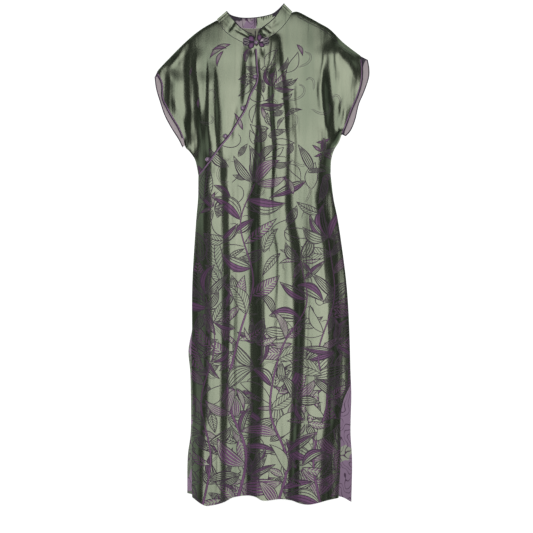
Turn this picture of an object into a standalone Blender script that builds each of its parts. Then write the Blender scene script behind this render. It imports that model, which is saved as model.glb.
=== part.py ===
"""A cheongsam dress laid flat on its back, seen from above.

X runs across the dress, +Y towards the neck and +Z up from the surface it lies on.
The back panel lies flat, and the front panels arch over it in long soft folds.
Every piece is a closed wall of cloth, and the seams leave a small gap between pieces.
"""
import math
from collections import namedtuple

import bmesh
import bpy
import numpy as np
from mathutils import Vector
from mathutils.geometry import delaunay_2d_cdt

# Driving dimensions in metres
MM = 0.001
CLOTH = 0.0012             # thickness of every cloth wall
SEAM_GAP = 0.0003          # space left between pieces that are sewn together
PIPING_RADIUS = 0.0011     # satin piping along the edges
FACING = 0.0008            # thickness of the facing inside the sleeve mouths
FACING_WIDTH = 0.018
LAP_WIDTH = 0.012          # how far the side front runs in under the main front
LAP_RISE = 0.0032          # how much higher the main front lies there
DOME = 0.0060              # height that the front arches to away from its closed seams
DOME_REACH = 0.045         # distance over which it rises
MOUTH_LIFT = 0.0018        # extra room over the facings at the sleeve mouths
BUTTON_RADIUS = 0.0058
LOOP_RADIUS = 0.0009
FROG_THICKNESS = 0.0022
COLLAR_TURN = 0.0014       # radius of the collar's folds at its two upper corners
COLLAR_RISE = 0.0012       # how much the front of the collar lifts towards its upper edge

CORNER = 0.0025            # cut off where a neckline meets a shoulder
FACING_END = 0.006         # the facing stops short of the sleeve's two corners
COLLAR_STEPS = 13          # sections along each of the collar's three stretches
COLLAR_LAYERS = 2          # panels between the collar's foot and its top edge
KNOT_RADIUS = 0.0052
KNOT_SQUASH = 0.8          # height of the knot against its width
KNOT_DROP = 0.0012         # how far the knot settles between the two wings
LEFT_WING_DROP = 0.0007    # how far the left wing settles onto the collar below it
LOOP_HALF_WIDTH = 0.0052
MOUTH_INWARD = {"left": 1.0, "right": -1.0}   # side of each mouth line that the sleeve lies on

# Where the middle of the dress's box lies, in the outline tables' millimetres
MIDDLE_X = -0.34
MIDDLE_UP = 626.8

# Mesh spacing in metres
EDGE_STEP = 0.012
COLUMN_STEP = 0.0095
BODICE_ROW_STEP = 0.025
SKIRT_ROW_STEP = 0.052
SKIRT_TOP = 800.0          # millimetres above the lowest point of the hem

# Outline tables, each row (x from the middle line, height above the hem) in millimetres
LEFT_SHOULDER = [(-112, 1212), (-153, 1188), (-190, 1158), (-235, 1113), (-261, 1085)]
RIGHT_SHOULDER = [(74, 1231), (90, 1232), (118, 1218), (145, 1203), (170, 1188),
                  (200, 1158), (222, 1140), (247, 1121)]
LEFT_UNDERARM = [(-196, 912), (-191, 893), (-182, 884), (-167, 861), (-159, 823)]
RIGHT_UNDERARM = [(200, 929), (192, 907), (180, 887), (173, 863), (171, 828)]
LEFT_SIDE = [(-159, 823), (-160, 768), (-165, 708), (-172, 603), (-175, 528), (-175, 438)]
RIGHT_SIDE = [(171, 828), (178, 768), (190, 708), (205, 603), (213, 528), (218, 438), (221, 330)]
LEFT_SLIT_FRONT = [(-175, 438), (-177, 380), (-174, 270), (-174, 190), (-176, 110), (-175, 20)]
LEFT_SLIT_BACK = [(-175, 438), (-184, 385), (-179, 320), (-178, 190), (-186, 120), (-187, 30)]
RIGHT_SLIT_FRONT = [(221, 330), (219, 298), (204, 263), (196, 213), (196, 110), (191, 18)]
RIGHT_SLIT_BACK = [(221, 330), (223, 273), (221, 183), (225, 108), (223, 8)]
FRONT_HEM = [(-175, 20), (-146, 2), (-128, 1), (-95, 9), (-71, 21), (-36, 26), (-16, 23),
             (4, 14), (45, 18), (71, 15), (94, 6), (119, 3), (160, 12), (191, 18)]
BACK_HEM = [(-187, 30), (-150, 22), (-100, 24), (-30, 32), (60, 27), (120, 21), (190, 22), (223, 8)]
LEFT_MOUTH_FRONT = [(-261, 1077), (-250, 1052), (-248, 1016), (-238, 993), (-223, 966),
                    (-208, 941), (-196, 912)]
LEFT_MOUTH_BACK = [(-269, 1070), (-265, 1040), (-255, 1006), (-244, 974), (-229, 945),
                   (-209, 913), (-199, 893)]
RIGHT_MOUTH_FRONT = [(247, 1113), (249, 1087), (247, 1056), (238, 1023), (222, 985),
                     (207, 945), (200, 929)]
RIGHT_MOUTH_BACK = [(264, 1113), (268, 1090), (267, 1068), (256, 1034), (242, 1001),
                    (233, 963), (222, 936), (209, 921)]
PLACKET = [(-15, 1142), (-12, 1090), (-10, 1070), (-14, 1050), (-29, 1022), (-41, 987),
           (-59, 957), (-80, 923), (-98, 901), (-119, 873), (-136, 849), (-158, 822)]
LEFT_NECKLINE = [(-112, 1212), (-95, 1186), (-74, 1169), (-50, 1156), (-30, 1151), (-18, 1149)]
RIGHT_NECKLINE = [(-13, 1149), (1, 1155), (17, 1167), (32, 1177), (50, 1193), (67, 1215), (74, 1231)]
BACK_NECKLINE = [(-112, 1212), (-88, 1199), (-60, 1193), (-15, 1191), (32, 1203), (55, 1215), (74, 1231)]

# Collar sections, each the foot at the neckline and the top edge, in millimetres
CollarRow = namedtuple("CollarRow", "foot_x foot_up top_x top_up")
COLLAR_LEFT = [
    CollarRow(-112, 1212, -87, 1233), CollarRow(-104, 1199, -77, 1219),
    CollarRow(-95, 1186, -66, 1207), CollarRow(-74, 1169, -54, 1193),
    CollarRow(-50, 1156, -38, 1182), CollarRow(-30, 1151, -23, 1175),
    CollarRow(-18, 1149, -16, 1162)]
COLLAR_RIGHT = [
    CollarRow(74, 1231, 53, 1252), CollarRow(67, 1215, 42, 1235),
    CollarRow(50, 1193, 29, 1216), CollarRow(32, 1177, 13, 1202),
    CollarRow(17, 1167, 1, 1193), CollarRow(1, 1155, -8, 1184),
    CollarRow(-13, 1149, -13, 1164)]
COLLAR_BACK = [
    CollarRow(-112, 1212, -87, 1233), CollarRow(-88, 1199, -76, 1224),
    CollarRow(-60, 1193, -50, 1218), CollarRow(-15, 1191, -15, 1219),
    CollarRow(32, 1203, 20, 1226), CollarRow(55, 1215, 37, 1236),
    CollarRow(74, 1231, 53, 1252)]

# Long folds of the front, in millimetres: each row gives a fold's place and width at one height,
# and how much the cloth rises across it from left to right
Row = namedtuple("Row", "up x width rise")
STEPS = [
    [Row(1195, -172, 50, 0.0), Row(1112, -175, 46, 2.4), Row(1037, -174, 50, 5.2), Row(962, -166, 64, 8.0),
     Row(887, -150, 54, 9.0), Row(812, -152, 46, 9.5), Row(612, -148, 48, 11.0), Row(462, -148, 50, 11.5),
     Row(262, -159, 46, 10.5), Row(112, -166, 42, 9.5), Row(0, -169, 42, 9.5)],
    [Row(930, -104, 14, 0.0), Row(812, -96, 22, -5.0), Row(762, -92, 26, -7.5), Row(462, -88, 30, -8.0),
     Row(262, -94, 28, -7.5), Row(112, -96, 28, -6.0), Row(0, -96, 28, -6.0)],
    [Row(1010, -9, 16, 0.0), Row(887, -7, 28, 4.5), Row(812, -15, 36, 8.0), Row(762, -23, 38, 10.0),
     Row(612, -16, 42, 10.5), Row(462, -14, 42, 10.5), Row(262, -18, 44, 10.5), Row(112, -26, 44, 10.0),
     Row(0, -29, 44, 10.0)],
    [Row(930, 62, 14, 0.0), Row(812, 63, 20, -3.5), Row(762, 66, 22, -5.0), Row(612, 86, 30, -7.0),
     Row(462, 90, 34, -7.5), Row(262, 86, 28, -7.0), Row(112, 78, 30, -7.0), Row(0, 76, 30, -7.0)],
    [Row(1165, 146, 60, 0.0), Row(1112, 152, 40, -2.0), Row(1037, 158, 34, -4.0), Row(962, 162, 34, -5.5),
     Row(887, 168, 36, -6.5), Row(812, 155, 34, -6.5), Row(762, 149, 34, -7.0), Row(612, 172, 38, -7.0),
     Row(462, 186, 42, -7.0), Row(262, 178, 38, -6.5), Row(112, 158, 34, -6.5), Row(0, 158, 34, -6.5)]]

# Slanting folds at the sleeves: a ridge rises along its line
Fold = namedtuple("Fold", "top_x top_up end_x end_up left_width right_width rise")
FOLDS = [
    Fold(166, 1168, 246, 1046, 70, 36, 8.0),
    Fold(-208, 1095, -206, 955, 30, 40, 4.0)]

# Frog wings, each row a corner of the smooth outline in millimetres
LEFT_WING = [(-20.5, 1155), (-22, 1166), (-26, 1170.5), (-33, 1168), (-40, 1166.5), (-46, 1164),
             (-48, 1155), (-45, 1147), (-38, 1149), (-35, 1143.5), (-30, 1140), (-24, 1144)]
RIGHT_WING = [(-9, 1155), (-10, 1165), (-7.5, 1174), (0, 1169), (7, 1166), (14.5, 1167),
              (17.5, 1160), (16, 1150), (9, 1148), (3.5, 1145), (-1, 1144), (-7, 1149)]
KNOT_PLACE = (-14.7, 1153.0)

# Places of the ball buttons along the placket, as shares of its length from the neck
BUTTON_PLACES = [0.206, 0.445, 0.675, 0.872]

# Colours and finish of the pieces: red, green, blue, roughness
SATIN_GREEN = (0.19, 0.23, 0.16, 0.32)
SATIN_PURPLE = (0.16, 0.08, 0.17, 0.38)
PIPING_PURPLE = (0.06, 0.03, 0.08, 0.40)
FACING_LILAC = (0.38, 0.34, 0.36, 0.60)


def to_world(rows):
    """Turn table rows in millimetres into an array of metres about the dress's middle."""
    points = np.array(rows, dtype=float)
    return (points - np.array([MIDDLE_X, MIDDLE_UP])) * MM


def smooth_line(rows, step=EDGE_STEP):
    """A smooth curve through the rows' points, resampled in even steps along its length."""
    points = to_world(rows)
    padded = np.vstack([2 * points[0] - points[1], points, 2 * points[-1] - points[-2]])
    fine = []
    for i in range(1, len(padded) - 2):
        before, start, end, after = padded[i - 1:i + 3]
        for t in np.arange(0.0, 1.0, 0.05):
            slope_in = (end - before) / 2
            slope_out = (after - start) / 2
            fine.append((2 * t**3 - 3 * t**2 + 1) * start + (t**3 - 2 * t**2 + t) * slope_in
                        + (3 * t**2 - 2 * t**3) * end + (t**3 - t**2) * slope_out)
    fine.append(points[-1])
    return resample(np.array(fine), step)


def resample(points, step):
    """Even steps along a line, with its two ends kept."""
    reach = arc_lengths(points)
    count = max(2, int(round(reach[-1] / step)) + 1)
    places = np.linspace(0.0, reach[-1], count)
    return np.column_stack([np.interp(places, reach, points[:, k]) for k in range(points.shape[1])])


def arc_lengths(points):
    """Distance along a line at each of its points."""
    return np.concatenate([[0.0], np.cumsum(np.linalg.norm(np.diff(points, axis=0), axis=1))])


def trimmed(points, start=0.0, end=0.0):
    """A line with a length cut off each of its ends."""
    reach = arc_lengths(points)
    kept = points[(reach > start) & (reach < reach[-1] - end)]
    ends = [[np.interp(place, reach, points[:, k]) for k in range(points.shape[1])]
            for place in (start, reach[-1] - end)]
    return np.vstack([ends[:1], kept, ends[1:]])


def left_normals(points):
    """Unit normals in the plane, to the left of the line's direction."""
    along = np.gradient(points[:, :2], axis=0)
    along /= np.linalg.norm(along, axis=1)[:, None]
    return np.column_stack([-along[:, 1], along[:, 0]])


def shifted(points, distance):
    """The line moved sideways, to its left for a positive distance."""
    return points + left_normals(points) * distance


def distance_to(line, points):
    """Shortest distance from each point to a line."""
    start = line[:-1]
    step = line[1:] - start
    size = np.maximum((step ** 2).sum(axis=1), 1e-12)
    offset = points[:, None, :] - start[None, :, :]
    share = np.clip((offset * step).sum(axis=2) / size, 0.0, 1.0)
    gap = offset - share[..., None] * step
    return np.sqrt((gap ** 2).sum(axis=2)).min(axis=1)


def smooth_step(low, high, values):
    """Zero below low, one above high, and a smooth rise between."""
    t = np.clip((values - low) / (high - low), 0.0, 1.0)
    return t * t * (3.0 - 2.0 * t)


LEFT_CLOSED = smooth_line(LEFT_SHOULDER)
LEFT_LOWER = np.vstack([smooth_line(LEFT_UNDERARM), smooth_line(LEFT_SIDE), smooth_line(LEFT_SLIT_FRONT)])
RIGHT_CLOSED = smooth_line(RIGHT_SHOULDER)
RIGHT_LOWER = np.vstack([smooth_line(RIGHT_UNDERARM), smooth_line(RIGHT_SIDE), smooth_line(RIGHT_SLIT_FRONT)])
PLACKET_LINE = smooth_line(PLACKET)
MOUTH_LINES = [smooth_line(LEFT_MOUTH_FRONT), smooth_line(RIGHT_MOUTH_FRONT)]
BACK_TOP = CLOTH
FRONT_FLOOR = BACK_TOP + SEAM_GAP + CLOTH


def along_rows(rows, up):
    """Place, width and rise of a fold at each height, eased from row to row."""
    table = np.array(rows[::-1], dtype=float)
    index = np.clip(np.searchsorted(table[:, 0], up) - 1, 0, len(table) - 2)
    low, high = table[index], table[index + 1]
    share = smooth_step(0.0, 1.0, (up - low[:, 0]) / (high[:, 0] - low[:, 0]))[:, None]
    return (low + (high - low) * share)[:, 1:].T


def ramp(share):
    """A slope from zero to one that is a little steeper in its middle than at its two ends."""
    share = np.clip(share, 0.0, 1.0)
    return share - 0.08 * np.sin(2.0 * math.pi * share)


def fold_lift(points):
    """What the folds add to the front's height."""
    x, up = (points / MM + [MIDDLE_X, MIDDLE_UP]).T
    lift = np.zeros(len(points))
    for rows in STEPS:
        place, width, rise = along_rows(rows, up)
        lift += rise * ramp((x - place) / width + 0.5)
    for fold in FOLDS:
        run = np.array([fold.end_x - fold.top_x, fold.end_up - fold.top_up])
        length = np.linalg.norm(run)
        offset = np.column_stack([x - fold.top_x, up - fold.top_up])
        along = offset @ run / length
        across = offset @ np.array([-run[1], run[0]]) / length
        width = np.where(across > 0, fold.right_width, fold.left_width)
        fade = smooth_step(0.0, 0.25 * length, along) * smooth_step(0.0, 0.25 * length, length - along)
        lift += fold.rise * ramp(1.0 - np.abs(across) / width) * fade
    return lift * MM


def front_height(points):
    """Height of the outer face of the side front, and of the main front away from its lap."""
    closed = np.minimum.reduce([distance_to(line, points)
                                for line in (LEFT_CLOSED, LEFT_LOWER, RIGHT_CLOSED, RIGHT_LOWER)])
    lift = DOME * (1.0 - np.exp(-closed / DOME_REACH)) + fold_lift(points)
    softness = 0.0015
    lift = softness * np.logaddexp(0.0, lift / softness) * (1.0 - np.exp(-closed / 0.006))
    mouth = np.minimum(distance_to(MOUTH_LINES[0], points), distance_to(MOUTH_LINES[1], points))
    return FRONT_FLOOR + lift + MOUTH_LIFT * (1.0 - smooth_step(0.020, 0.045, mouth))


def main_height(points):
    """Height of the outer face of the main front, which laps over the side front."""
    lap = 1.0 - smooth_step(0.022, 0.060, distance_to(PLACKET_LINE, points))
    return front_height(points) + LAP_RISE * lap


def slope_of(height, points):
    """Size of a height function's slope at each point."""
    step = 0.0015
    slope_x = (height(points + [step, 0.0]) - height(points - [step, 0.0])) / (2 * step)
    slope_y = (height(points + [0.0, step]) - height(points - [0.0, step])) / (2 * step)
    return np.hypot(slope_x, slope_y)


def material(name, finish):
    """A plain Principled material."""
    red, green, blue, roughness = finish
    made = bpy.data.materials.new(name)
    made.use_nodes = True
    shader = made.node_tree.nodes["Principled BSDF"]
    shader.inputs["Base Color"].default_value = (red, green, blue, 1.0)
    shader.inputs["Roughness"].default_value = roughness
    shader.inputs["Metallic"].default_value = 0.0
    return made


def add_object(name, data, finish):
    """Link one piece with a material of its own."""
    data.materials.append(material(name + "_finish", finish))
    piece = bpy.data.objects.new(name, data)
    bpy.context.scene.collection.objects.link(piece)
    return piece


def mesh_piece(name, vertices, faces, finish):
    """A closed mesh with its faces pointing out, shaded smooth."""
    mesh = bpy.data.meshes.new(name)
    mesh.from_pydata([tuple(v) for v in vertices], [], [tuple(f) for f in faces])
    shape = bmesh.new()
    shape.from_mesh(mesh)
    bmesh.ops.recalc_face_normals(shape, faces=shape.faces)
    shape.to_mesh(mesh)
    shape.free()
    mesh.shade_smooth()
    mesh.set_sharp_from_angle(angle=math.radians(50))
    return add_object(name, mesh, finish)


def closed_outline(*lines):
    """Join lines end to end into one ring, without points that lie closer than a seam."""
    ring = []
    for point in np.vstack(lines):
        if not ring or np.linalg.norm(point - ring[-1]) > 4 * SEAM_GAP:
            ring.append(point)
    if np.linalg.norm(ring[0] - ring[-1]) <= 4 * SEAM_GAP:
        ring.pop()
    return np.array(ring)


def inside(ring, points):
    """Which points lie inside a ring."""
    result = np.zeros(len(points), dtype=bool)
    for a, b in zip(ring, np.roll(ring, -1, axis=0)):
        crosses = (a[1] > points[:, 1]) != (b[1] > points[:, 1])
        rise = b[1] - a[1] if abs(b[1] - a[1]) > 1e-12 else 1e-12
        edge_x = a[0] + (points[:, 1] - a[1]) / rise * (b[0] - a[0])
        result ^= crosses & (points[:, 0] < edge_x)
    return result


def lattice(ring):
    """Points inside a ring, in rows that are closer together over the bodice."""
    low, high = ring.min(axis=0), ring.max(axis=0)
    skirt_top = (SKIRT_TOP - MIDDLE_UP) * MM
    rows = list(np.arange(min(skirt_top, high[1]), low[1], -SKIRT_ROW_STEP))
    rows += list(np.arange(max(skirt_top, low[1]) + BODICE_ROW_STEP, high[1], BODICE_ROW_STEP))
    columns = np.arange(low[0], high[0], COLUMN_STEP)
    points = np.array([(x, y) for y in rows for x in columns])
    points = points[inside(ring, points)]
    closed_ring = np.vstack([ring, ring[:1]])
    return points[distance_to(closed_ring, points) > 0.5 * COLUMN_STEP]


def triangulated(ring, inner_points):
    """Triangles that fill a ring, through the points inside it."""
    points = np.vstack([ring, inner_points]) if len(inner_points) else ring
    edges = [(i, (i + 1) % len(ring)) for i in range(len(ring))]
    made = delaunay_2d_cdt([Vector(p) for p in points], edges, [], 1, 1e-7)
    return np.array([tuple(v) for v in made[0]]), [tuple(f) for f in made[2]]


def wall(name, ring, inner_points, outer_of, inner_of, finish):
    """A cloth wall over a flat outline, between its inner and outer heights."""
    points, triangles = triangulated(ring, inner_points)
    count = len(points)
    outer = np.column_stack([points, outer_of(points)])
    inner = np.column_stack([points, inner_of(points)])
    faces = list(triangles)
    faces += [tuple(i + count for i in reversed(face)) for face in triangles]
    sides = {(face[k], face[(k + 1) % 3]) for face in triangles for k in range(3)}
    faces += [(b, a, a + count, b + count) for a, b in sides if (b, a) not in sides]
    return mesh_piece(name, np.vstack([outer, inner]), faces, finish)


def cloth_wall(name, ring, height):
    """A wall of cloth of even thickness under a height function, clear of the back."""
    def under(points):
        thick = CLOTH * np.sqrt(1.0 + slope_of(height, points) ** 2)
        return np.maximum(height(points) - thick, BACK_TOP + SEAM_GAP)
    return wall(name, ring, lattice(ring), height, under, SATIN_GREEN)


def tube(name, points, radius, finish, sides=1):
    """A round cord or piping along a line, with closed ends."""
    curve = bpy.data.curves.new(name, "CURVE")
    curve.dimensions = "3D"
    curve.bevel_depth = radius
    curve.bevel_resolution = sides
    curve.use_fill_caps = True
    spline = curve.splines.new("POLY")
    spline.points.add(len(points) - 1)
    for place, point in zip(spline.points, points):
        place.co = (*point, 1.0)
    return add_object(name, curve, finish)


def back_panel():
    """The back, both back sleeves included, flat on the surface."""
    inset = 2 * PIPING_RADIUS + SEAM_GAP
    ring = closed_outline(
        trimmed(shifted(smooth_line(BACK_NECKLINE), -SEAM_GAP), CORNER, CORNER),
        trimmed(smooth_line(RIGHT_SHOULDER), CORNER), shifted(smooth_line(RIGHT_MOUTH_BACK), -inset),
        smooth_line(RIGHT_UNDERARM)[1:], smooth_line(RIGHT_SIDE), smooth_line(RIGHT_SLIT_BACK),
        smooth_line(BACK_HEM)[::-1], smooth_line(LEFT_SLIT_BACK)[::-1],
        smooth_line(LEFT_SIDE)[::-1], smooth_line(LEFT_UNDERARM)[::-1][:-1],
        shifted(smooth_line(LEFT_MOUTH_BACK)[::-1], -inset),
        trimmed(smooth_line(LEFT_SHOULDER)[::-1], 0.0, CORNER))
    return wall("back_panel", ring, [], lambda p: np.full(len(p), CLOTH),
                lambda p: np.zeros(len(p)), SATIN_GREEN)


def front_main():
    """The large front, from the placket's edge across to the viewer's right sleeve."""
    inset = PIPING_RADIUS + SEAM_GAP
    mouth_inset = 2 * PIPING_RADIUS + SEAM_GAP
    edge = shifted(PLACKET_LINE, inset)
    ring = closed_outline(
        trimmed(shifted(smooth_line(RIGHT_NECKLINE), -SEAM_GAP), 2 * CORNER, CORNER),
        trimmed(smooth_line(RIGHT_SHOULDER), CORNER, CORNER),
        shifted(smooth_line(RIGHT_MOUTH_FRONT), -mouth_inset),
        smooth_line(RIGHT_UNDERARM)[1:], smooth_line(RIGHT_SIDE), smooth_line(RIGHT_SLIT_FRONT),
        smooth_line(FRONT_HEM)[::-1], smooth_line(LEFT_SLIT_FRONT)[::-1],
        smooth_line(LEFT_SIDE)[::-1][:-1], edge[::-1])
    return cloth_wall("front_main", ring, main_height)


def front_side():
    """The small front at the viewer's left, which runs in under the main front."""
    mouth_inset = 2 * PIPING_RADIUS + SEAM_GAP
    tucked = shifted(PLACKET_LINE, LAP_WIDTH)
    ring = closed_outline(
        trimmed(shifted(smooth_line(LEFT_NECKLINE), -SEAM_GAP), CORNER), tucked[1:-1],
        to_world([(-159.5, 806)]), smooth_line(LEFT_UNDERARM)[::-1][:-1],
        shifted(smooth_line(LEFT_MOUTH_FRONT)[::-1], -mouth_inset),
        trimmed(smooth_line(LEFT_SHOULDER)[::-1], CORNER, CORNER))
    return cloth_wall("front_side", ring, front_height)


def with_height(points, heights):
    """Flat points given their heights."""
    return np.column_stack([points, heights])


def unit(vectors):
    """Vectors scaled to length one."""
    return vectors / np.linalg.norm(vectors, axis=1)[:, None]


def evenly(line, count):
    """A line read at a number of even places along its length."""
    reach = arc_lengths(line) / arc_lengths(line)[-1]
    shares = np.linspace(0.0, 1.0, count)
    return np.column_stack([np.interp(shares, reach, line[:, k]) for k in range(line.shape[1])])


def collar_stretch(rows, foot_side, rounded):
    """Foot points, top points and the way in from the top edge, along a stretch of collar.

    The way in follows the band's own height, and near a rounded front corner it turns
    square to the edge.
    """
    foot = evenly(smooth_line([(row.foot_x, row.foot_up) for row in rows]), COLLAR_STEPS)
    top = evenly(smooth_line([(row.top_x, row.top_up) for row in rows]), COLLAR_STEPS)
    square = left_normals(top) * foot_side
    turned = np.linspace(0.0, rounded, COLLAR_STEPS)[:, None]
    way = unit(unit(foot - top) + turned * square)
    stretch = np.clip(1.0 / np.maximum((way * square).sum(axis=1), 0.5), 1.0, 1.6)
    return foot, top, way * stretch[:, None]


def collar_lines():
    """Foot points, top points and ways in from the top edge, all round the collar band.

    The band starts at the centre front on the viewer's left, turns under at the upper left
    corner, crosses the back and turns over to the front again at the upper right corner.
    """
    low = CLOTH / 2
    high = low + 2 * COLLAR_TURN
    rise = COLLAR_RISE * np.linspace(0.0, 1.0, COLLAR_STEPS)
    sections = []

    def add(foot, top, way, foot_height, top_height):
        sections.append(np.column_stack([foot, foot_height, top, top_height, way]))

    foot, top, way = (part[::-1] for part in collar_stretch(COLLAR_LEFT, -1.0, 3.0))
    height = np.maximum(front_height(foot) - low, high)
    add(foot, top, way, height, height + rise[::-1])
    for rows, side in ((COLLAR_LEFT, 1.0), (COLLAR_RIGHT, -1.0)):
        corner_foot, corner_top = to_world([(rows[0].foot_x, rows[0].foot_up),
                                            (rows[0].top_x, rows[0].top_up)])
        fold = (corner_top - corner_foot) / np.linalg.norm(corner_top - corner_foot)
        outward = np.array([-fold[1], fold[0]]) * side
        angles = np.radians([60, 30, 0, -30, -60]) * side
        moved = COLLAR_TURN * np.cos(angles)[:, None] * outward
        height = low + COLLAR_TURN * (1.0 + np.sin(angles))
        add(corner_foot + moved, corner_top + moved, np.tile(-fold, (5, 1)), height, height)
        if side > 0:
            foot, top, way = collar_stretch(COLLAR_BACK, -1.0, 0.0)
            resting = np.full(COLLAR_STEPS, low)
            add(foot, top, way, resting, resting)
    foot, top, way = collar_stretch(COLLAR_RIGHT, 1.0, 3.0)
    height = np.maximum(main_height(foot) - low, high)
    add(foot, top, way, height, height + rise)
    table = np.vstack(sections)
    return table[:, 0:3], table[:, 3:6], np.column_stack([table[:, 6:8], np.zeros(len(table))])


def collar():
    """The stand collar: one band of cloth round the neck, folded where it lies flat."""
    feet, tops, ways = collar_lines()
    tops = tops + ways * (2 * PIPING_RADIUS + SEAM_GAP)
    outward = unit(np.cross(np.gradient(feet, axis=0) + np.gradient(tops, axis=0), feet - tops))
    layers = np.linspace(0.0, 1.0, COLLAR_LAYERS + 1)
    loop = []
    for side in (0.5, -0.5):
        for share in (layers if side > 0 else layers[::-1]):
            loop.append(feet * (1 - share) + tops * share + outward * side * CLOTH)
    loop = np.array(loop)
    around, along = loop.shape[:2]
    vertices = loop.transpose(1, 0, 2).reshape(-1, 3)
    faces = []
    for i in range(along - 1):
        for k in range(around):
            a = i * around + k
            b = i * around + (k + 1) % around
            faces.append((a, b, b + around, a + around))
    for start in (0, (along - 1) * around):
        for k in range(COLLAR_LAYERS):
            low, high = start + k, start + around - 1 - k
            faces.append((low, low + 1, high - 1, high))
    mesh_piece("collar", vertices, faces, SATIN_GREEN)


def collar_piping():
    """Piping along the collar's upper edge, down its rounded front corners."""
    feet, tops, ways = collar_lines()
    line = tops + ways * PIPING_RADIUS
    line[:, 2] += PIPING_RADIUS + SEAM_GAP - CLOTH / 2
    tube("piping_collar", line, PIPING_RADIUS, PIPING_PURPLE)


def placket_piping():
    """Piping along the main front's edge, from the collar to the side seam."""
    line = PLACKET_LINE[1:-1]
    height = main_height(line) - CLOTH / 2
    tube("piping_placket", with_height(line, height), PIPING_RADIUS, PIPING_PURPLE)


def sleeve_mouth(side, front_rows, back_rows):
    """Piping on both edges of a sleeve's mouth, and the facing seen inside it."""
    front = shifted(smooth_line(front_rows), MOUTH_INWARD[side] * PIPING_RADIUS)
    height = front_height(front) - CLOTH / 2
    tube("piping_front_" + side, with_height(front, height), PIPING_RADIUS, PIPING_PURPLE)
    back_line = smooth_line(back_rows)
    back = shifted(back_line, MOUTH_INWARD[side] * PIPING_RADIUS)
    resting = np.full(len(back), PIPING_RADIUS + SEAM_GAP / 3)
    tube("piping_back_" + side, with_height(back, resting), PIPING_RADIUS, PIPING_PURPLE)
    outer = shifted(back_line, MOUTH_INWARD[side] * (2 * PIPING_RADIUS + 2 * SEAM_GAP))
    inner = shifted(back_line, MOUTH_INWARD[side] * FACING_WIDTH)
    ring = closed_outline(trimmed(outer, FACING_END, FACING_END),
                          trimmed(inner, FACING_END, FACING_END)[::-1])
    seat = BACK_TOP + SEAM_GAP
    wall("facing_" + side, ring, [], lambda p: np.full(len(p), seat + FACING),
         lambda p: np.full(len(p), seat), FACING_LILAC)


def frog_wing(name, rows, height, drop=0.0):
    """One petalled half of the frog at the neck, with a softly domed top."""
    ring = smooth_line(rows + rows[:1], step=0.0045)[:-1]
    closed_ring = np.vstack([ring, ring[:1]])
    low, high = ring.min(axis=0), ring.max(axis=0)
    grid = np.array([(x, y) for x in np.arange(low[0], high[0], 0.004)
                     for y in np.arange(low[1], high[1], 0.004)])
    grid = grid[inside(ring, grid)]
    grid = grid[distance_to(closed_ring, grid) > 0.002]
    seat = height(ring).max() + COLLAR_RISE + SEAM_GAP - drop

    def top(points):
        bulge = 1.0 - np.exp(-distance_to(closed_ring, points) / 0.003)
        return seat + FROG_THICKNESS * (0.45 + 0.55 * bulge)
    wall(name, ring, grid, top, lambda p: np.full(len(p), seat), SATIN_PURPLE)
    return seat


def ball(name, centre, radius, squash=1.0):
    """A round knotted ball of satin."""
    mesh = bpy.data.meshes.new(name)
    shape = bmesh.new()
    bmesh.ops.create_uvsphere(shape, u_segments=12, v_segments=8, radius=radius)
    for vertex in shape.verts:
        vertex.co = Vector((vertex.co.x, vertex.co.y, vertex.co.z * squash)) + Vector(centre)
    shape.to_mesh(mesh)
    shape.free()
    mesh.shade_smooth()
    add_object(name, mesh, SATIN_PURPLE)


def frog():
    """The butterfly frog that fastens the collar: two wings and the knot between them."""
    frog_wing("frog_left", LEFT_WING, front_height, LEFT_WING_DROP)
    seat = frog_wing("frog_right", RIGHT_WING, main_height)
    knot = to_world([KNOT_PLACE])[0]
    middle = seat - KNOT_DROP + KNOT_RADIUS * KNOT_SQUASH
    ball("frog_knot", (*knot, middle), KNOT_RADIUS, KNOT_SQUASH)


def buttons():
    """Ball buttons on the side front, each in a loop of cord from the main front's edge."""
    reach = arc_lengths(PLACKET_LINE)
    normals = left_normals(PLACKET_LINE)
    apart = BUTTON_RADIUS + PIPING_RADIUS + 2 * SEAM_GAP
    for number, share in enumerate(BUTTON_PLACES, start=1):
        place = np.array([np.interp(share * reach[-1], reach, PLACKET_LINE[:, k]) for k in range(2)])
        normal = np.array([np.interp(share * reach[-1], reach, normals[:, k]) for k in range(2)])
        normal /= np.linalg.norm(normal)
        along = np.array([-normal[1], normal[0]])
        centre = place - normal * apart
        spot = centre[None, :]
        tilt = math.hypot(1.0, slope_of(front_height, spot)[0])
        lift = (BUTTON_RADIUS + SEAM_GAP) * tilt
        ball("button_%d" % number, (*centre, front_height(spot)[0] + lift), BUTTON_RADIUS)
        half = LOOP_HALF_WIDTH
        end = apart - PIPING_RADIUS - SEAM_GAP
        local = [(end, -half), (end / 2, -half)]
        local += [(-half * math.sin(a), -half * math.cos(a)) for a in np.linspace(0.0, math.pi, 9)]
        local += [(end / 2, half), (end, half)]
        line = np.array([centre + normal * a + along * b for a, b in local])
        rest = front_height(line) + (LOOP_RADIUS + SEAM_GAP) * tilt
        tube("button_loop_%d" % number, with_height(line, rest), LOOP_RADIUS, PIPING_PURPLE)


def main():
    """Build the dress in an empty scene."""
    for old in list(bpy.data.objects):
        bpy.data.objects.remove(old, do_unlink=True)
    back_panel()
    front_main()
    front_side()
    collar()
    collar_piping()
    placket_piping()
    sleeve_mouth("left", LEFT_MOUTH_FRONT, LEFT_MOUTH_BACK)
    sleeve_mouth("right", RIGHT_MOUTH_FRONT, RIGHT_MOUTH_BACK)
    frog()
    buttons()


main()
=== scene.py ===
"""The looks of a cheongsam dress laid flat: cloth shells with their creases, jacquard print and trims."""
import math
import random
from collections import namedtuple
from functools import partialmethod

import bmesh
import bpy
import numpy as np
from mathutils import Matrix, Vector
from mathutils.geometry import delaunay_2d_cdt


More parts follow.
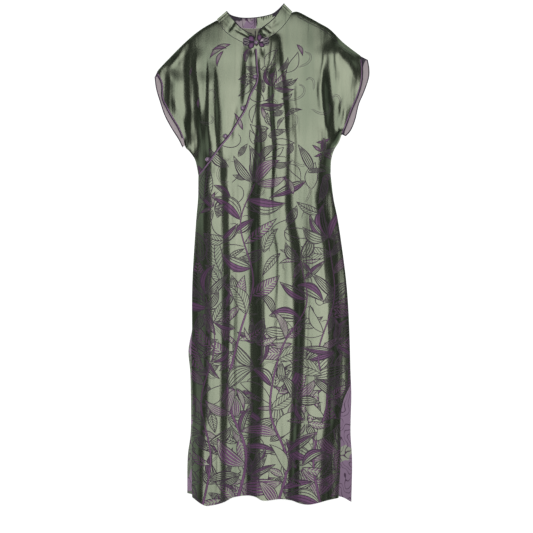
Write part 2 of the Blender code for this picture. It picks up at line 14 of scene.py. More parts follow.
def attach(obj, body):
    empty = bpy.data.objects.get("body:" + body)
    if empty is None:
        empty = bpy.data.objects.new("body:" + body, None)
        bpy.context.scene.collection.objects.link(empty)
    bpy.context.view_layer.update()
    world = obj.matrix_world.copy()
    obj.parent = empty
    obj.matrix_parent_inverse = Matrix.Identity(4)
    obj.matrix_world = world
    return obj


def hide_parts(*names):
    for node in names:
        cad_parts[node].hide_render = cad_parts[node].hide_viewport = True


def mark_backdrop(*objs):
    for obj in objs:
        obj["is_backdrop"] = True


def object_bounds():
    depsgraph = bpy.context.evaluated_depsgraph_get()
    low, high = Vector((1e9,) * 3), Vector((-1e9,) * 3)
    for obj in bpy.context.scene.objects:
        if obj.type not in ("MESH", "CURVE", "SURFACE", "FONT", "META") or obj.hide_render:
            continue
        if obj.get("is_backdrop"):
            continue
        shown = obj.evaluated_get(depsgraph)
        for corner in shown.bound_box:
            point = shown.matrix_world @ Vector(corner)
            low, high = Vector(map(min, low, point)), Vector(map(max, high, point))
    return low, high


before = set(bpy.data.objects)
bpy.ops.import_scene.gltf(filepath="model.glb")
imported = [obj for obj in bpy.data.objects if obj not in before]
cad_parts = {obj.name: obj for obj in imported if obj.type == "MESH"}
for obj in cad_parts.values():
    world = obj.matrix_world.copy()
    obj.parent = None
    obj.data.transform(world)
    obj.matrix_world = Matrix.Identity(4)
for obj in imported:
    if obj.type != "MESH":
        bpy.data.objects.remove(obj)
cad_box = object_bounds()

# Sizes in metres
MM = 0.001
CLOTH = 0.0012             # wall of the solids, whose outer faces the shells follow
SHELL = 0.0005             # thickness of the visible satin
SEAM_GAP = 0.0003
PIPING_RADIUS = 0.0011
FACING = 0.0008
FACING_WIDTH = 0.018
FACING_END = 0.0015
FACING_TAPER = 0.022       # length over which a facing narrows to its ends
LAP_WIDTH = 0.012
LAP_RISE = 0.0032          # of the main front over the side front, which fades over LAP_FADE
LAP_FADE = (0.022, 0.060)
DOME = 0.0060              # the fronts' height over the back, reached over DOME_REACH from their closed edges
DOME_REACH = 0.045
LIFT_SOFTNESS = 0.0015     # how softly the folds' valleys come to rest on the back
EDGE_FLAT = 0.006          # reach of the closed edges' flat rim
MOUTH_LIFT = 0.0018        # of the sleeve mouths' front edges, which fades over MOUTH_FADE
MOUTH_FADE = (0.020, 0.045)
BUTTON_RADIUS = 0.0058
BUTTON_SQUASH = 0.85       # height against width
LOOP_RADIUS = 0.0009
LOOP_HALF_WIDTH = 0.0052
COLLAR_TURN = 0.0014       # radius of the collar's folds
COLLAR_RISE = 0.0012
COLLAR_ROUNDED = 3.0       # how far the top edge's way in turns square to it towards the front
CORNER = 0.0025
KNOT_RADIUS = 0.0052
KNOT_SQUASH = 0.8
KNOT_SINK = 0.0012

# Half width and half height of the piping and of the dark shade beside it, in metres
ROUND_CORD = (0.0011, 0.0011)
PLACKET_CORD = (0.0021, 0.0014)
PLACKET_SHADE = (0.0010, 0.0007)
PLACKET_SHADE_OFF = 0.0029  # from the placket's edge to the middle of its shade
PLACKET_SHADE_RISE = 0.0006
SLEEVE_CORD = (0.0015, 0.0014)
SLEEVE_SHADE = (0.0014, 0.0006)
SLEEVE_SHADE_OFF = 0.0026
SLEEVE_SHADE_SINK = 0.0006
SHADE_TRIM = 0.006         # length cut off both ends of a sleeve's shade

# Places, spacing, camera and light
MIDDLE_X = -0.34           # middle of the dress's box in the tables' millimetres
MIDDLE_UP = 626.8
EDGE_STEP = 0.0032         # spacing of the points on an outline
FINE_STEPS = (0.0025, 0.0050)  # spacing along and between the rows of the fronts' mesh, and so on below
BACK_STEPS = (0.004, 0.006)
FACING_STEPS = (0.004, 0.005)
WING_STEPS = (0.0015, 0.0018)
CAMERA_HEIGHT = 3.7
CAMERA_PLACE = (0.0113, -0.0308)
LAMP_PLACE = (-0.02, 0.1, 2.6)
LAMP_SIZE = (1.6, 2.8)
LAMP_POWER = 23.5
ROOM_COLOUR = (0.86, 1.0, 0.90, 1.0)
ROOM_LIGHT = 0.018         # the room above, which the satin's dark folds reflect
HORIZON_LIGHT = 0.42       # the room near the horizon, which ends between two heights on a unit sphere
HORIZON = (0.60, 0.70)
FLOOR_HALF = 6.0
FLOOR_GLOW = 0.75
FLOOR_DROP = 0.0003


def to_world(rows):
    """Turn table rows in millimetres into an array of metres about the dress's middle."""
    points = np.array(rows, dtype=float)
    return (points - np.array([MIDDLE_X, MIDDLE_UP])) * MM


def arc_lengths(points):
    """Distance along a line at each of its points."""
    return np.concatenate([[0.0], np.cumsum(np.linalg.norm(np.diff(points, axis=0), axis=1))])


def evenly(line, count):
    """A line read at a number of even places along its length."""
    reach = arc_lengths(line)
    places = np.linspace(0.0, reach[-1], count)
    return np.column_stack([np.interp(places, reach, line[:, k]) for k in range(line.shape[1])])


def smooth_line(rows, step=EDGE_STEP):
    """A smooth curve through the rows' points, resampled in even steps along its length."""
    points = to_world(rows)
    padded = np.vstack([2 * points[0] - points[1], points, 2 * points[-1] - points[-2]])
    fine = []
    for i in range(1, len(padded) - 2):
        before, start, end, after = padded[i - 1:i + 3]
        for t in np.arange(0.0, 1.0, 0.05):
            slope_in = (end - before) / 2
            slope_out = (after - start) / 2
            fine.append((2 * t**3 - 3 * t**2 + 1) * start + (t**3 - 2 * t**2 + t) * slope_in
                        + (3 * t**2 - 2 * t**3) * end + (t**3 - t**2) * slope_out)
    fine.append(points[-1])
    fine = np.array(fine)
    count = max(2, int(round(arc_lengths(fine)[-1] / step)) + 1)
    return evenly(fine, count)


# The outline's lines, from rows of (x from the middle line, height above the hem) in millimetres
LEFT_SHOULDER = smooth_line([(-112, 1212), (-153, 1188), (-190, 1158), (-235, 1113), (-261, 1085)])
RIGHT_SHOULDER = smooth_line([
    (74, 1231), (90, 1232), (118, 1218), (145, 1203), (170, 1188), (200, 1158), (222, 1140), (247, 1121)])
LEFT_UNDERARM = smooth_line([(-196, 912), (-191, 893), (-182, 884), (-167, 861), (-159, 823)])
RIGHT_UNDERARM = smooth_line([(200, 929), (192, 907), (180, 887), (173, 863), (171, 828)])
LEFT_SIDE = smooth_line([(-159, 823), (-160, 768), (-165, 708), (-172, 603), (-175, 528), (-175, 438)])
RIGHT_SIDE = smooth_line([
    (171, 828), (178, 768), (190, 708), (205, 603), (213, 528), (218, 438), (221, 330)])
LEFT_SLIT_FRONT = smooth_line([(-175, 438), (-177, 380), (-174, 270), (-174, 190), (-176, 110), (-175, 20)])
LEFT_SLIT_BACK = smooth_line([(-175, 438), (-184, 385), (-179, 320), (-178, 190), (-186, 120), (-187, 30)])
RIGHT_SLIT_FRONT = smooth_line([(221, 330), (219, 298), (204, 263), (196, 213), (196, 110), (191, 18)])
RIGHT_SLIT_BACK = smooth_line([(221, 330), (223, 273), (221, 183), (225, 108), (223, 8)])
FRONT_HEM = smooth_line([
    (-175, 20), (-146, 2), (-128, 1), (-95, 9), (-71, 21), (-36, 26), (-16, 23), (4, 14), (45, 18),
    (71, 15), (94, 6), (119, 3), (160, 12), (191, 18)])
BACK_HEM = smooth_line([
    (-187, 30), (-150, 22), (-100, 24), (-30, 32), (60, 27), (120, 21), (190, 22), (223, 8)])
LEFT_MOUTH_FRONT = smooth_line([
    (-261, 1077), (-250, 1052), (-248, 1016), (-238, 993), (-223, 966), (-208, 941), (-196, 912)])
LEFT_MOUTH_BACK = smooth_line([
    (-269, 1070), (-265, 1040), (-255, 1006), (-244, 974), (-229, 945), (-209, 913), (-199, 893)])
RIGHT_MOUTH_FRONT = smooth_line([
    (247, 1113), (249, 1087), (247, 1056), (238, 1023), (222, 985), (207, 945), (200, 929)])
RIGHT_MOUTH_BACK = smooth_line([
    (264, 1113), (268, 1090), (267, 1068), (256, 1034), (242, 1001), (233, 963), (222, 936), (209, 921)])
PLACKET = smooth_line([
    (-15, 1142), (-12, 1090), (-10, 1070), (-14, 1050), (-29, 1022), (-41, 987), (-59, 957), (-80, 923),
    (-98, 901), (-119, 873), (-136, 849), (-158, 822)])
LEFT_NECKLINE = smooth_line([(-112, 1212), (-95, 1186), (-74, 1169), (-50, 1156), (-30, 1151), (-18, 1149)])
RIGHT_NECKLINE = smooth_line([
    (-13, 1149), (1, 1155), (17, 1167), (32, 1177), (50, 1193), (67, 1215), (74, 1231)])
BACK_NECKLINE = smooth_line([
    (-112, 1212), (-88, 1199), (-60, 1193), (-15, 1191), (32, 1203), (55, 1215), (74, 1231)])
LAP_END = (-159.5, 806)    # lower end of the strip under the main front, in the tables' millimetres

# Stretches of the collar in millimetres. Columns: x and height of its foot, x and height of its top
COLLAR_LEFT = [
    (-112, 1212, -87, 1233), (-104, 1199, -77, 1219), (-95, 1186, -66, 1207), (-74, 1169, -54, 1193),
    (-50, 1156, -38, 1182), (-30, 1151, -23, 1175), (-18, 1149, -16, 1162)]
COLLAR_RIGHT = [
    (74, 1231, 53, 1252), (67, 1215, 42, 1235), (50, 1193, 29, 1216), (32, 1177, 13, 1202),
    (17, 1167, 1, 1193), (1, 1155, -8, 1184), (-13, 1149, -13, 1164)]
COLLAR_BACK = [
    (-112, 1212, -87, 1233), (-88, 1199, -76, 1224), (-60, 1193, -50, 1218), (-15, 1191, -15, 1219),
    (32, 1203, 20, 1226), (55, 1215, 37, 1236), (74, 1231, 53, 1252)]
COLLAR_STEPS = 110
COLLAR_LAYERS = 10

# Long folds of the front in millimetres. Columns: height, x and width of the fold there, and how much
# the cloth rises across it from left to right
STEPS = [
    [(1195, -172, 50, 0), (1112, -175, 46, 2.4), (1037, -174, 50, 5.2), (962, -166, 64, 8),
     (887, -150, 54, 9), (812, -152, 46, 9.5), (612, -148, 48, 11), (462, -148, 50, 11.5),
     (262, -159, 46, 10.5), (112, -166, 42, 9.5), (0, -169, 42, 9.5)],
    [(930, -104, 14, 0), (812, -96, 22, -5), (762, -92, 26, -7.5), (462, -88, 30, -8), (262, -94, 28, -7.5),
     (112, -96, 28, -6), (0, -96, 28, -6)],
    [(1010, -9, 16, 0), (887, -7, 28, 4.5), (812, -15, 36, 8), (762, -23, 38, 10), (612, -16, 42, 10.5),
     (462, -14, 42, 10.5), (262, -18, 44, 10.5), (112, -26, 44, 10), (0, -29, 44, 10)],
    [(930, 62, 14, 0), (812, 63, 20, -3.5), (762, 66, 22, -5), (612, 86, 30, -7), (462, 90, 34, -7.5),
     (262, 86, 28, -7), (112, 78, 30, -7), (0, 76, 30, -7)],
    [(1165, 146, 60, 0), (1112, 152, 40, -2), (1037, 158, 34, -4), (962, 162, 34, -5.5),
     (887, 168, 36, -6.5), (812, 155, 34, -6.5), (762, 149, 34, -7), (612, 172, 38, -7), (462, 186, 42, -7),
     (262, 178, 38, -6.5), (112, 158, 34, -6.5), (0, 158, 34, -6.5)]]

# Slanting folds at the sleeves: a ridge rises along its line
Fold = namedtuple("Fold", "top_x top_up end_x end_up left_width right_width rise")
FOLDS = [
    Fold(166, 1168, 246, 1046, 70, 36, 8.0),
    Fold(-208, 1095, -206, 955, 30, 40, 4.0)]
SLEEVE_CREASES = [
    Fold(-194, 1144, -235, 1088, 7, 12, 1.3), Fold(-224, 1128, -234, 955, 18, 28, 2.2),
    Fold(-183, 1167, -265, 1104, 6, 6, 0.8), Fold(182, 1154, 244, 1110, 11, 13, 2.0),
    Fold(214, 1010, 196, 918, 10, 16, 1.6), Fold(186, 950, 208, 902, 8, 10, 1.0)]
FADE = 0.35                # share of a slanting fold's length over which each end rises

# Smaller creases that only the visible cloth has, with the same columns. The rise is a crease's height,
# or a groove's depth below zero
CREASES = [
    [(1150, -41, 16, 0), (1120, -38, 20, 2.6), (1085, -37, 23, 3.2), (1037, -39, 23, 2.8),
     (975, -46, 18, 0)],
    [(1147, -23, 9, 0), (1134, -22, 11, -1.6), (1112, -25, 9, 0)],
    [(1149, 0, 8, 0), (1136, 1, 10, -1.5), (1116, 4, 8, 0)]]
# Creases with a steep flank on the right, or on the left where the width is below zero
PLEATS = [
    [(1152, -181, -16, 0), (1100, -181, -18, 2.4), (1037, -178, -22, 4), (962, -175, -26, 4.8),
     (885, -179, -16, 0)],
    [(1148, -160, -15, 0), (1092, -162, -18, 2.6), (1037, -155, -22, 4.2), (962, -149, -25, 4.4),
     (887, -146, -24, 1.8), (812, -150, -22, 0)],
    [(1138, -131, -12, 0), (1084, -131, -14, 2), (1037, -131, -15, 2.7), (962, -130, -17, 3),
     (887, -127, -16, 1.8), (830, -126, -12, 0)],
    [(1112, -121, 12, 0), (1050, -120, 15, 2.5), (962, -119, 18, 3), (900, -116, 17, 2.4),
     (855, -113, 13, 0)],
    [(1140, -4, -10, 0), (1100, -3, -14, 2.2), (1037, -1, -19, 3.4), (962, -2, -24, 4), (887, 0, -28, 3.2),
     (812, -8, -24, 0)],
    [(1088, 16, 10, 0), (1060, 16, 12, 1.8), (1037, 16, 13, 2.2), (962, 19, 14, 2.4), (887, 25, 15, 2.4),
     (812, 22, 15, 2), (762, 18, 16, 1.8), (690, 20, 15, 0)],
    [(1180, 32, -10, 0), (1160, 28, -13, 2.2), (1112, 24, -14, 3), (1080, 16, -12, 2.2), (1050, 10, -10, 0)],
    [(1178, 38, 10, 0), (1150, 40, 13, 1.4), (1112, 43, 14, 1.9), (1037, 50, 15, 2.4), (962, 55, 15, 2.5),
     (887, 60, 13, 1.3), (830, 62, 12, 0)],
    [(800, 25, -20, 0), (740, 27, -20, 2.4), (612, 44, -15, 2), (462, 40, -18, 1.6), (262, 49, -18, 1.6),
     (112, 60, -16, 1), (0, 60, -16, 1)],
    [(1085, 76, 10, 0), (1025, 77, 13, -1.8), (950, 86, 12, -1.4), (880, 90, 10, 0)],
    [(1160, 158, -11, 0), (1112, 156, -13, 2.5), (1075, 151, -15, 2.8), (1037, 147, -17, 2.9),
     (1000, 151, -19, 3.2), (962, 158, -21, 3.5), (925, 167, -23, 3.6), (887, 176, -25, 3.2),
     (820, 178, -24, 0)],
    [(1150, 183, -10, 0), (1116, 184, -11, 1.2), (1075, 185, -10, 0)],
    [(1030, 196, 12, 0), (990, 188, 14, -1.5), (930, 178, 13, -1.5), (890, 170, 10, 0)],
    [(1010, -66, 10, 0), (980, -68, 12, -1.2), (930, -78, 12, -1.2), (880, -86, 10, 0)],
    [(800, 118, 20, 0), (700, 122, 24, -1.2), (500, 132, 26, -1.3), (300, 128, 24, -1.2),
     (100, 112, 22, -1.2), (0, 112, 22, -1.2)],
    [(700, -58, -18, 0), (560, -56, -20, 1.2), (400, -60, -20, 1.3), (150, -62, -20, 1.2),
     (0, -62, -20, 1.2)]]
GENTLE = 0.42              # the other flank's steepness against the steep one's
EDGE_ROLL = 0.0009         # how far the front's closed edges turn down, over EDGE_REACH
EDGE_REACH = 0.0016

# Frog wings, each row a corner of the smooth outline in millimetres
LEFT_WING = [(-20.5, 1155), (-22, 1166), (-26, 1170.5), (-33, 1168), (-40, 1166.5), (-46, 1164),
             (-48, 1155), (-45, 1147), (-38, 1149), (-35, 1143.5), (-30, 1140), (-24, 1144)]
RIGHT_WING = [(-9, 1155), (-10, 1165), (-7.5, 1174), (0, 1169), (7, 1166), (14.5, 1167),
              (17.5, 1160), (16, 1150), (9, 1148), (3.5, 1145), (-1, 1144), (-7, 1149)]
KNOT_PLACE = (-14.7, 1153.0)
BUTTON_PLACES = [0.206, 0.445, 0.675, 0.872]


def trimmed(points, start=0.0, end=0.0):
    """A line with a length cut off each of its ends."""
    reach = arc_lengths(points)
    kept = points[(reach > start) & (reach < reach[-1] - end)]
    ends = [[np.interp(place, reach, points[:, k]) for k in range(points.shape[1])]
            for place in (start, reach[-1] - end)]
    return np.vstack([ends[:1], kept, ends[1:]])


def left_normals(points):
    """Unit normals in the plane, to the left of the line's direction."""
    along = np.gradient(points[:, :2], axis=0)
    along /= np.linalg.norm(along, axis=1)[:, None]
    return np.column_stack([-along[:, 1], along[:, 0]])


def shifted(points, distance):
    """The line moved sideways, to its left for a positive distance."""
    return points + left_normals(points) * distance


def square_to(run):
    """A flat vector turned a quarter to the left."""
    return np.array([-run[1], run[0]])


def distance_to(line, points):
    """Shortest distance from each point to a line."""
    line = np.vstack([line[:-1:3], line[-1:]]) if len(line) > 60 else line
    nearest = np.full(len(points), 1e9)
    for start, end in zip(line[:-1], line[1:]):
        step = end - start
        share = np.clip((points - start) @ step / max(step @ step, 1e-12), 0.0, 1.0)
        gap = points - start - share[:, None] * step
        nearest = np.minimum(nearest, (gap ** 2).sum(axis=1))
    return np.sqrt(nearest)


def smooth_step(low, high, values):
    """Zero below low, one above high, and a smooth rise between."""
    t = np.clip((values - low) / (high - low), 0.0, 1.0)
    return t * t * (3.0 - 2.0 * t)


CLOSED_LINES = [
    LEFT_SHOULDER, RIGHT_SHOULDER,
    np.vstack([LEFT_UNDERARM, LEFT_SIDE, LEFT_SLIT_FRONT]),
    np.vstack([RIGHT_UNDERARM, RIGHT_SIDE, RIGHT_SLIT_FRONT])]
MOUTH_LINES = [LEFT_MOUTH_FRONT, RIGHT_MOUTH_FRONT]
BACK_TOP = CLOTH
FRONT_FLOOR = BACK_TOP + SEAM_GAP + CLOTH


def along_rows(rows, up):
    """Place, width and rise of a fold at each height, eased from row to row."""
    table = np.array(rows[::-1], dtype=float)
    index = np.clip(np.searchsorted(table[:, 0], up) - 1, 0, len(table) - 2)
    low, high = table[index], table[index + 1]
    share = smooth_step(0.0, 1.0, (up - low[:, 0]) / (high[:, 0] - low[:, 0]))[:, None]
    return (low + (high - low) * share)[:, 1:].T


def ramp(share):
    """A slope from zero to one that is a little steeper in its middle than at its two ends."""
    share = np.clip(share, 0.0, 1.0)
    return share - 0.08 * np.sin(2.0 * math.pi * share)


def fold_lift(points):
    """What the folds and creases add to the front's height."""
    x, up = (points / MM + [MIDDLE_X, MIDDLE_UP]).T
    lift = np.zeros(len(points))
    for rows in STEPS:
        place, width, rise = along_rows(rows, up)
        lift += rise * ramp((x - place) / width + 0.5)
    for rows, gentle in [(rows, 1.0) for rows in CREASES] + [(rows, GENTLE) for rows in PLEATS]:
        place, width, rise = along_rows(rows, up)
        off = 2.0 * (x - place) / width
        lift += rise * np.exp(-(off * np.where(off > 0, 1.0, gentle)) ** 2)
    for fold in FOLDS + SLEEVE_CREASES:
        run = np.array([fold.end_x - fold.top_x, fold.end_up - fold.top_up])
        length = np.linalg.norm(run)
        offset = np.column_stack([x - fold.top_x, up - fold.top_up])
        along = offset @ run / length
        across = offset @ square_to(run) / length
        width = np.where(across > 0, fold.right_width, fold.left_width)
        fade = smooth_step(0.0, FADE * length, along) * smooth_step(0.0, FADE * length, length - along)
        lift += fold.rise * ramp(1.0 - np.abs(across) / width) * fade
    return lift * MM


def front_height(points):
    """Height of the outer face of the side front, and of the main front away from its lap."""
    closed = np.minimum.reduce([distance_to(line, points) for line in CLOSED_LINES])
    lift = DOME * (1.0 - np.exp(-closed / DOME_REACH)) + fold_lift(points)
    lift = LIFT_SOFTNESS * np.logaddexp(0.0, lift / LIFT_SOFTNESS) * (1.0 - np.exp(-closed / EDGE_FLAT))
    lift -= EDGE_ROLL * np.exp(-closed / EDGE_REACH)
    mouth = np.minimum(distance_to(MOUTH_LINES[0], points), distance_to(MOUTH_LINES[1], points))
    return FRONT_FLOOR + lift + MOUTH_LIFT * (1.0 - smooth_step(*MOUTH_FADE, mouth))


def main_height(points):
    """Height of the outer face of the main front, which laps over the side front."""
    lap = 1.0 - smooth_step(*LAP_FADE, distance_to(PLACKET, points))
    return front_height(points) + LAP_RISE * lap


def closed_outline(*lines):
    """Join lines end to end into one ring, without points that lie too close together."""
    ring = []
    for point in np.vstack(lines):
        if not ring or np.linalg.norm(point - ring[-1]) > 2 * SEAM_GAP:
            ring.append(point)
    if np.linalg.norm(ring[0] - ring[-1]) <= 2 * SEAM_GAP:
        ring.pop()
    return np.array(ring)


def inside(ring, points):
    """Which points lie inside a ring."""
    result = np.zeros(len(points), dtype=bool)
    for a, b in zip(ring, np.roll(ring, -1, axis=0)):
        crosses = (a[1] > points[:, 1]) != (b[1] > points[:, 1])
        rise = b[1] - a[1] if abs(b[1] - a[1]) > 1e-12 else 1e-12
        edge_x = a[0] + (points[:, 1] - a[1]) / rise * (b[0] - a[0])
        result ^= crosses & (points[:, 0] < edge_x)
    return result


def lattice(ring, column_step, row_step):
    """Points inside a ring, in staggered rows that keep clear of its edge."""
    low, high = ring.min(axis=0), ring.max(axis=0)
    points = []
    for number, y in enumerate(np.arange(low[1], high[1], row_step)):
        shift = column_step / 2 if number % 2 else 0.0
        points += [(x, y) for x in np.arange(low[0] + shift, high[0], column_step)]
    points = np.array(points)
    points = points[inside(ring, points)]
    closed_ring = np.vstack([ring, ring[:1]])
    return points[distance_to(closed_ring, points) > 0.55 * column_step]


def triangulated(ring, inner_points):
    """Triangles that fill a ring, through the points inside it."""
    points = np.vstack([ring, inner_points]) if len(inner_points) else ring
    edges = [(i, (i + 1) % len(ring)) for i in range(len(ring))]
    made = delaunay_2d_cdt([Vector(p) for p in points], edges, [], 1, 1e-7)
    return np.array([tuple(v) for v in made[0]]), np.array([tuple(f) for f in made[2]])


def steepness(points, heights, triangles):
    """How much longer a vertical wall is than its thickness, at each point of a relief."""
    solid = np.column_stack([points, heights])
    corners = solid[triangles]
    normals = np.cross(corners[:, 1] - corners[:, 0], corners[:, 2] - corners[:, 0])
    summed = np.zeros_like(solid)
    for k in range(3):
        np.add.at(summed, triangles[:, k], normals)
    summed /= np.linalg.norm(summed, axis=1)[:, None]
    return 1.0 / np.maximum(np.abs(summed[:, 2]), 0.3)


def placed(name, data, place=(0.0, 0.0, 0.0)):
    """A new object in the scene."""
    made = bpy.data.objects.new(name, data)
    made.location = place
    bpy.context.scene.collection.objects.link(made)
    return made


def new_object(name, vertices, faces, smooth_angle=50):
    """A mesh object, shaded smooth, that rides on the dress's body."""
    mesh = bpy.data.meshes.new(name)
    mesh.from_pydata([tuple(v) for v in vertices], [], [tuple(f) for f in faces])
    mesh.shade_smooth()
    mesh.set_sharp_from_angle(angle=math.radians(smooth_angle))
    piece = placed(name, mesh)
    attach(piece, "root")
    return piece


def shell(name, ring, inner_points, outer_of, thickness=SHELL):
    """A thin closed shell of cloth under a height function."""
    points, triangles = triangulated(ring, inner_points)
    count = len(points)
    top = outer_of(points)
    under = top - thickness * steepness(points, top, triangles)
    vertices = np.vstack([with_height(points, top), with_height(points, under)])
    faces = [tuple(face) for face in triangles]
    faces += [tuple(i + count for i in reversed(face)) for face in faces]
    sides = {(face[k], face[(k + 1) % 3]) for face in faces[:len(triangles)] for k in range(3)}
    faces += [(b, a, a + count, b + count) for a, b in sides if (b, a) not in sides]
    return new_object(name, vertices, faces)


def front_ring():
    """Flat outline of the main front."""
    return closed_outline(
        trimmed(shifted(RIGHT_NECKLINE, -SEAM_GAP), 2 * CORNER, CORNER),
        trimmed(RIGHT_SHOULDER, CORNER, CORNER),
        shifted(RIGHT_MOUTH_FRONT, -PIPING_RADIUS), RIGHT_UNDERARM[1:],
        RIGHT_SIDE, RIGHT_SLIT_FRONT, FRONT_HEM[::-1],
        LEFT_SLIT_FRONT[::-1], LEFT_SIDE[::-1][:-1],
        shifted(PLACKET, PIPING_RADIUS / 2)[::-1])


def side_ring():
    """Flat outline of the side front, with the strip that runs in under the main front."""
    return closed_outline(
        trimmed(shifted(LEFT_NECKLINE, -SEAM_GAP), CORNER),
        trimmed(shifted(PLACKET, LAP_WIDTH), LAP_WIDTH, LAP_WIDTH), to_world([LAP_END]),
        LEFT_UNDERARM[::-1][:-1], shifted(LEFT_MOUTH_FRONT[::-1], -PIPING_RADIUS),
        trimmed(LEFT_SHOULDER[::-1], CORNER, CORNER))


def back_ring():
    """Flat outline of the back with both back sleeves."""
    return closed_outline(
        trimmed(shifted(BACK_NECKLINE, -SEAM_GAP), CORNER, CORNER),
        trimmed(RIGHT_SHOULDER, CORNER),
        shifted(RIGHT_MOUTH_BACK, -PIPING_RADIUS), RIGHT_UNDERARM[1:], RIGHT_SIDE, RIGHT_SLIT_BACK,
        BACK_HEM[::-1], LEFT_SLIT_BACK[::-1], LEFT_SIDE[::-1], LEFT_UNDERARM[::-1][:-1],
        shifted(LEFT_MOUTH_BACK[::-1], -PIPING_RADIUS),
        trimmed(LEFT_SHOULDER[::-1], 0.0, CORNER))


def unit(vectors):
    """Vectors scaled to length one."""
    return vectors / np.linalg.norm(vectors, axis=1)[:, None]


def collar_stretch(rows, foot_side, rounded):
    """Foot points, top points and the way in from the top edge, along a stretch of collar."""
    foot = evenly(smooth_line([row[:2] for row in rows]), COLLAR_STEPS)
    top = evenly(smooth_line([row[2:] for row in rows]), COLLAR_STEPS)
    square = left_normals(top) * foot_side
    turned = np.linspace(0.0, rounded, COLLAR_STEPS)[:, None]
    way = unit(unit(foot - top) + turned * square)
    stretch = np.clip(1.0 / np.maximum((way * square).sum(axis=1), 0.5), 1.0, 1.6)
    return foot, top, way * stretch[:, None]


def collar_lines():
    """Foot points, top points and ways in from the top edge, all round the collar band."""
    low = CLOTH / 2
    high = low + 2 * COLLAR_TURN
    rise = COLLAR_RISE * np.linspace(0.0, 1.0, COLLAR_STEPS)
    sections = []

    def add(foot, top, way, foot_height, top_height):
        sections.append(np.hstack([with_height(foot, foot_height), with_height(top, top_height), way]))

    foot, top, way = (part[::-1] for part in collar_stretch(COLLAR_LEFT, -1.0, COLLAR_ROUNDED))
    height = np.maximum(front_height(foot) - low, high)
    add(foot, top, way, height, height + rise[::-1])
    for rows, side in ((COLLAR_LEFT, 1.0), (COLLAR_RIGHT, -1.0)):
        corner_foot, corner_top = to_world([rows[0][:2], rows[0][2:]])
        fold = (corner_top - corner_foot) / np.linalg.norm(corner_top - corner_foot)
        outward = square_to(fold) * side
        angles = np.radians(np.arange(75, -76, -15)) * side
        moved = COLLAR_TURN * np.cos(angles)[:, None] * outward
        height = low + COLLAR_TURN * (1.0 + np.sin(angles))
        add(corner_foot + moved, corner_top + moved, np.tile(-fold, (len(angles), 1)), height, height)
        if side > 0:
            foot, top, way = collar_stretch(COLLAR_BACK, -1.0, 0.0)
            add(foot, top, way, low, low)
    foot, top, way = collar_stretch(COLLAR_RIGHT, 1.0, COLLAR_ROUNDED)
    height = np.maximum(main_height(foot) - low, high)
    add(foot, top, way, height, height + rise)
    table = np.vstack(sections)
    return table[:, 0:3], table[:, 3:6], with_height(table[:, 6:8], 0.0)


def swept(name, loops):
    """A closed piece through rings of points, with both its ends filled."""
    along, around = loops.shape[:2]
    vertices = loops.reshape(-1, 3)
    faces = []
    for i in range(along - 1):
        for k in range(around):
            a = i * around + k
            b = i * around + (k + 1) % around
            faces.append((a, b, b + around, a + around))
    faces.append(tuple(range(around))[::-1])
    faces.append(tuple((along - 1) * around + k for k in range(around)))
    piece = new_object(name, vertices, faces)
    turn_outward(piece)
    return piece


def turn_outward(piece):
    """Turn a closed mesh's faces to point out."""
    shape = bmesh.new()
    shape.from_mesh(piece.data)
    bmesh.ops.recalc_face_normals(shape, faces=shape.faces)
    shape.to_mesh(piece.data)
    shape.free()


# Soft dents in the collar's front and back in millimetres. Columns: x and height of the middle, x and
# height from there to the end, half width and depth
COLLAR_DENTS = [
    (-76, 1196, 6, 10, 4.5, 1.8), (-49, 1179, 15, -8, 3.6, 1.5), (-36, 1172, 7, -4, 4, 1.3),
    (-62, 1187, 5, -4, 3, 0.8), (2, 1178, 5, -3, 3.6, 1.5), (19, 1183, 4, -2, 3.4, 1.2),
    (10, 1190, 5, -2, 2.6, 0.7), (34, 1203, 12, 9, 5, 0.8), (-98, 1221, 13, 11, 2.4, 0.7),
    (62, 1240, -11, 11, 2.4, 0.7), (-89, 1205, 8, -11, 4, 0.7)]
BACK_COLLAR_DENTS = [
    (-42, 1216, 1, -6, 3, 1.2), (-33, 1213, 1, -7, 3, 1), (-26, 1210, 1, -8, 3, 0.8),
    (-16, 1208, 1, -16, 2.6, 1.4), (1, 1218, 0.5, -6, 2.2, 1.5), (9, 1219, 1, -8, 2.6, 1),
    (18, 1222, 1, -8, 3, 1)]


def dented(points, dents):
    """Depth of the soft dents at each point."""
    depth = np.zeros(len(points))
    for x, up, long_x, long_up, width, deep in dents:
        length = math.hypot(long_x, long_up)
        run = np.array([long_x, long_up]) / length
        offset = points - to_world([(x, up)])[0]
        along = (offset @ run) / (length * MM)
        across = (offset @ square_to(run)) / (width * MM)
        depth += deep * MM * np.exp(-along ** 2 - across ** 2)
    return depth


def collar():
    """The stand collar: one band all round the neck, with soft dents in its front and back."""
    feet, tops, ways = collar_lines()
    tops = tops + ways * PIPING_RADIUS
    outward = unit(np.cross(np.gradient(feet, axis=0) + np.gradient(tops, axis=0), feet - tops))
    outward[:, 2] = np.where(np.abs(outward[:, 2]) < 1e-6, 0.0, outward[:, 2])
    layers = np.linspace(0.0, 1.0, COLLAR_LAYERS + 1)
    loops = []
    for side in (0.5, -0.5):
        for share in (layers if side > 0 else layers[::-1]):
            loops.append(feet * (1 - share) + tops * share + outward * side * CLOTH)
    loops = np.array(loops).transpose(1, 0, 2)
    flat = loops.reshape(-1, 3)
    front = flat[:, 2] > CLOTH + COLLAR_TURN
    flat[front, 2] -= dented(flat[front, :2], COLLAR_DENTS)
    back = flat[:, 2] < CLOTH + COLLAR_TURN
    flat[back, 2] += dented(flat[back, :2], BACK_COLLAR_DENTS)
    return swept("collar_cloth", flat.reshape(loops.shape))


# The collar's inner face in millimetres: its lilac half ends at the centre back, and its two corners are
# painted dark as the shade deep inside the collar
LILAC_END = -14
SHADED_CORNER_PLACES = [(-50, 1210), (25, 1220)]


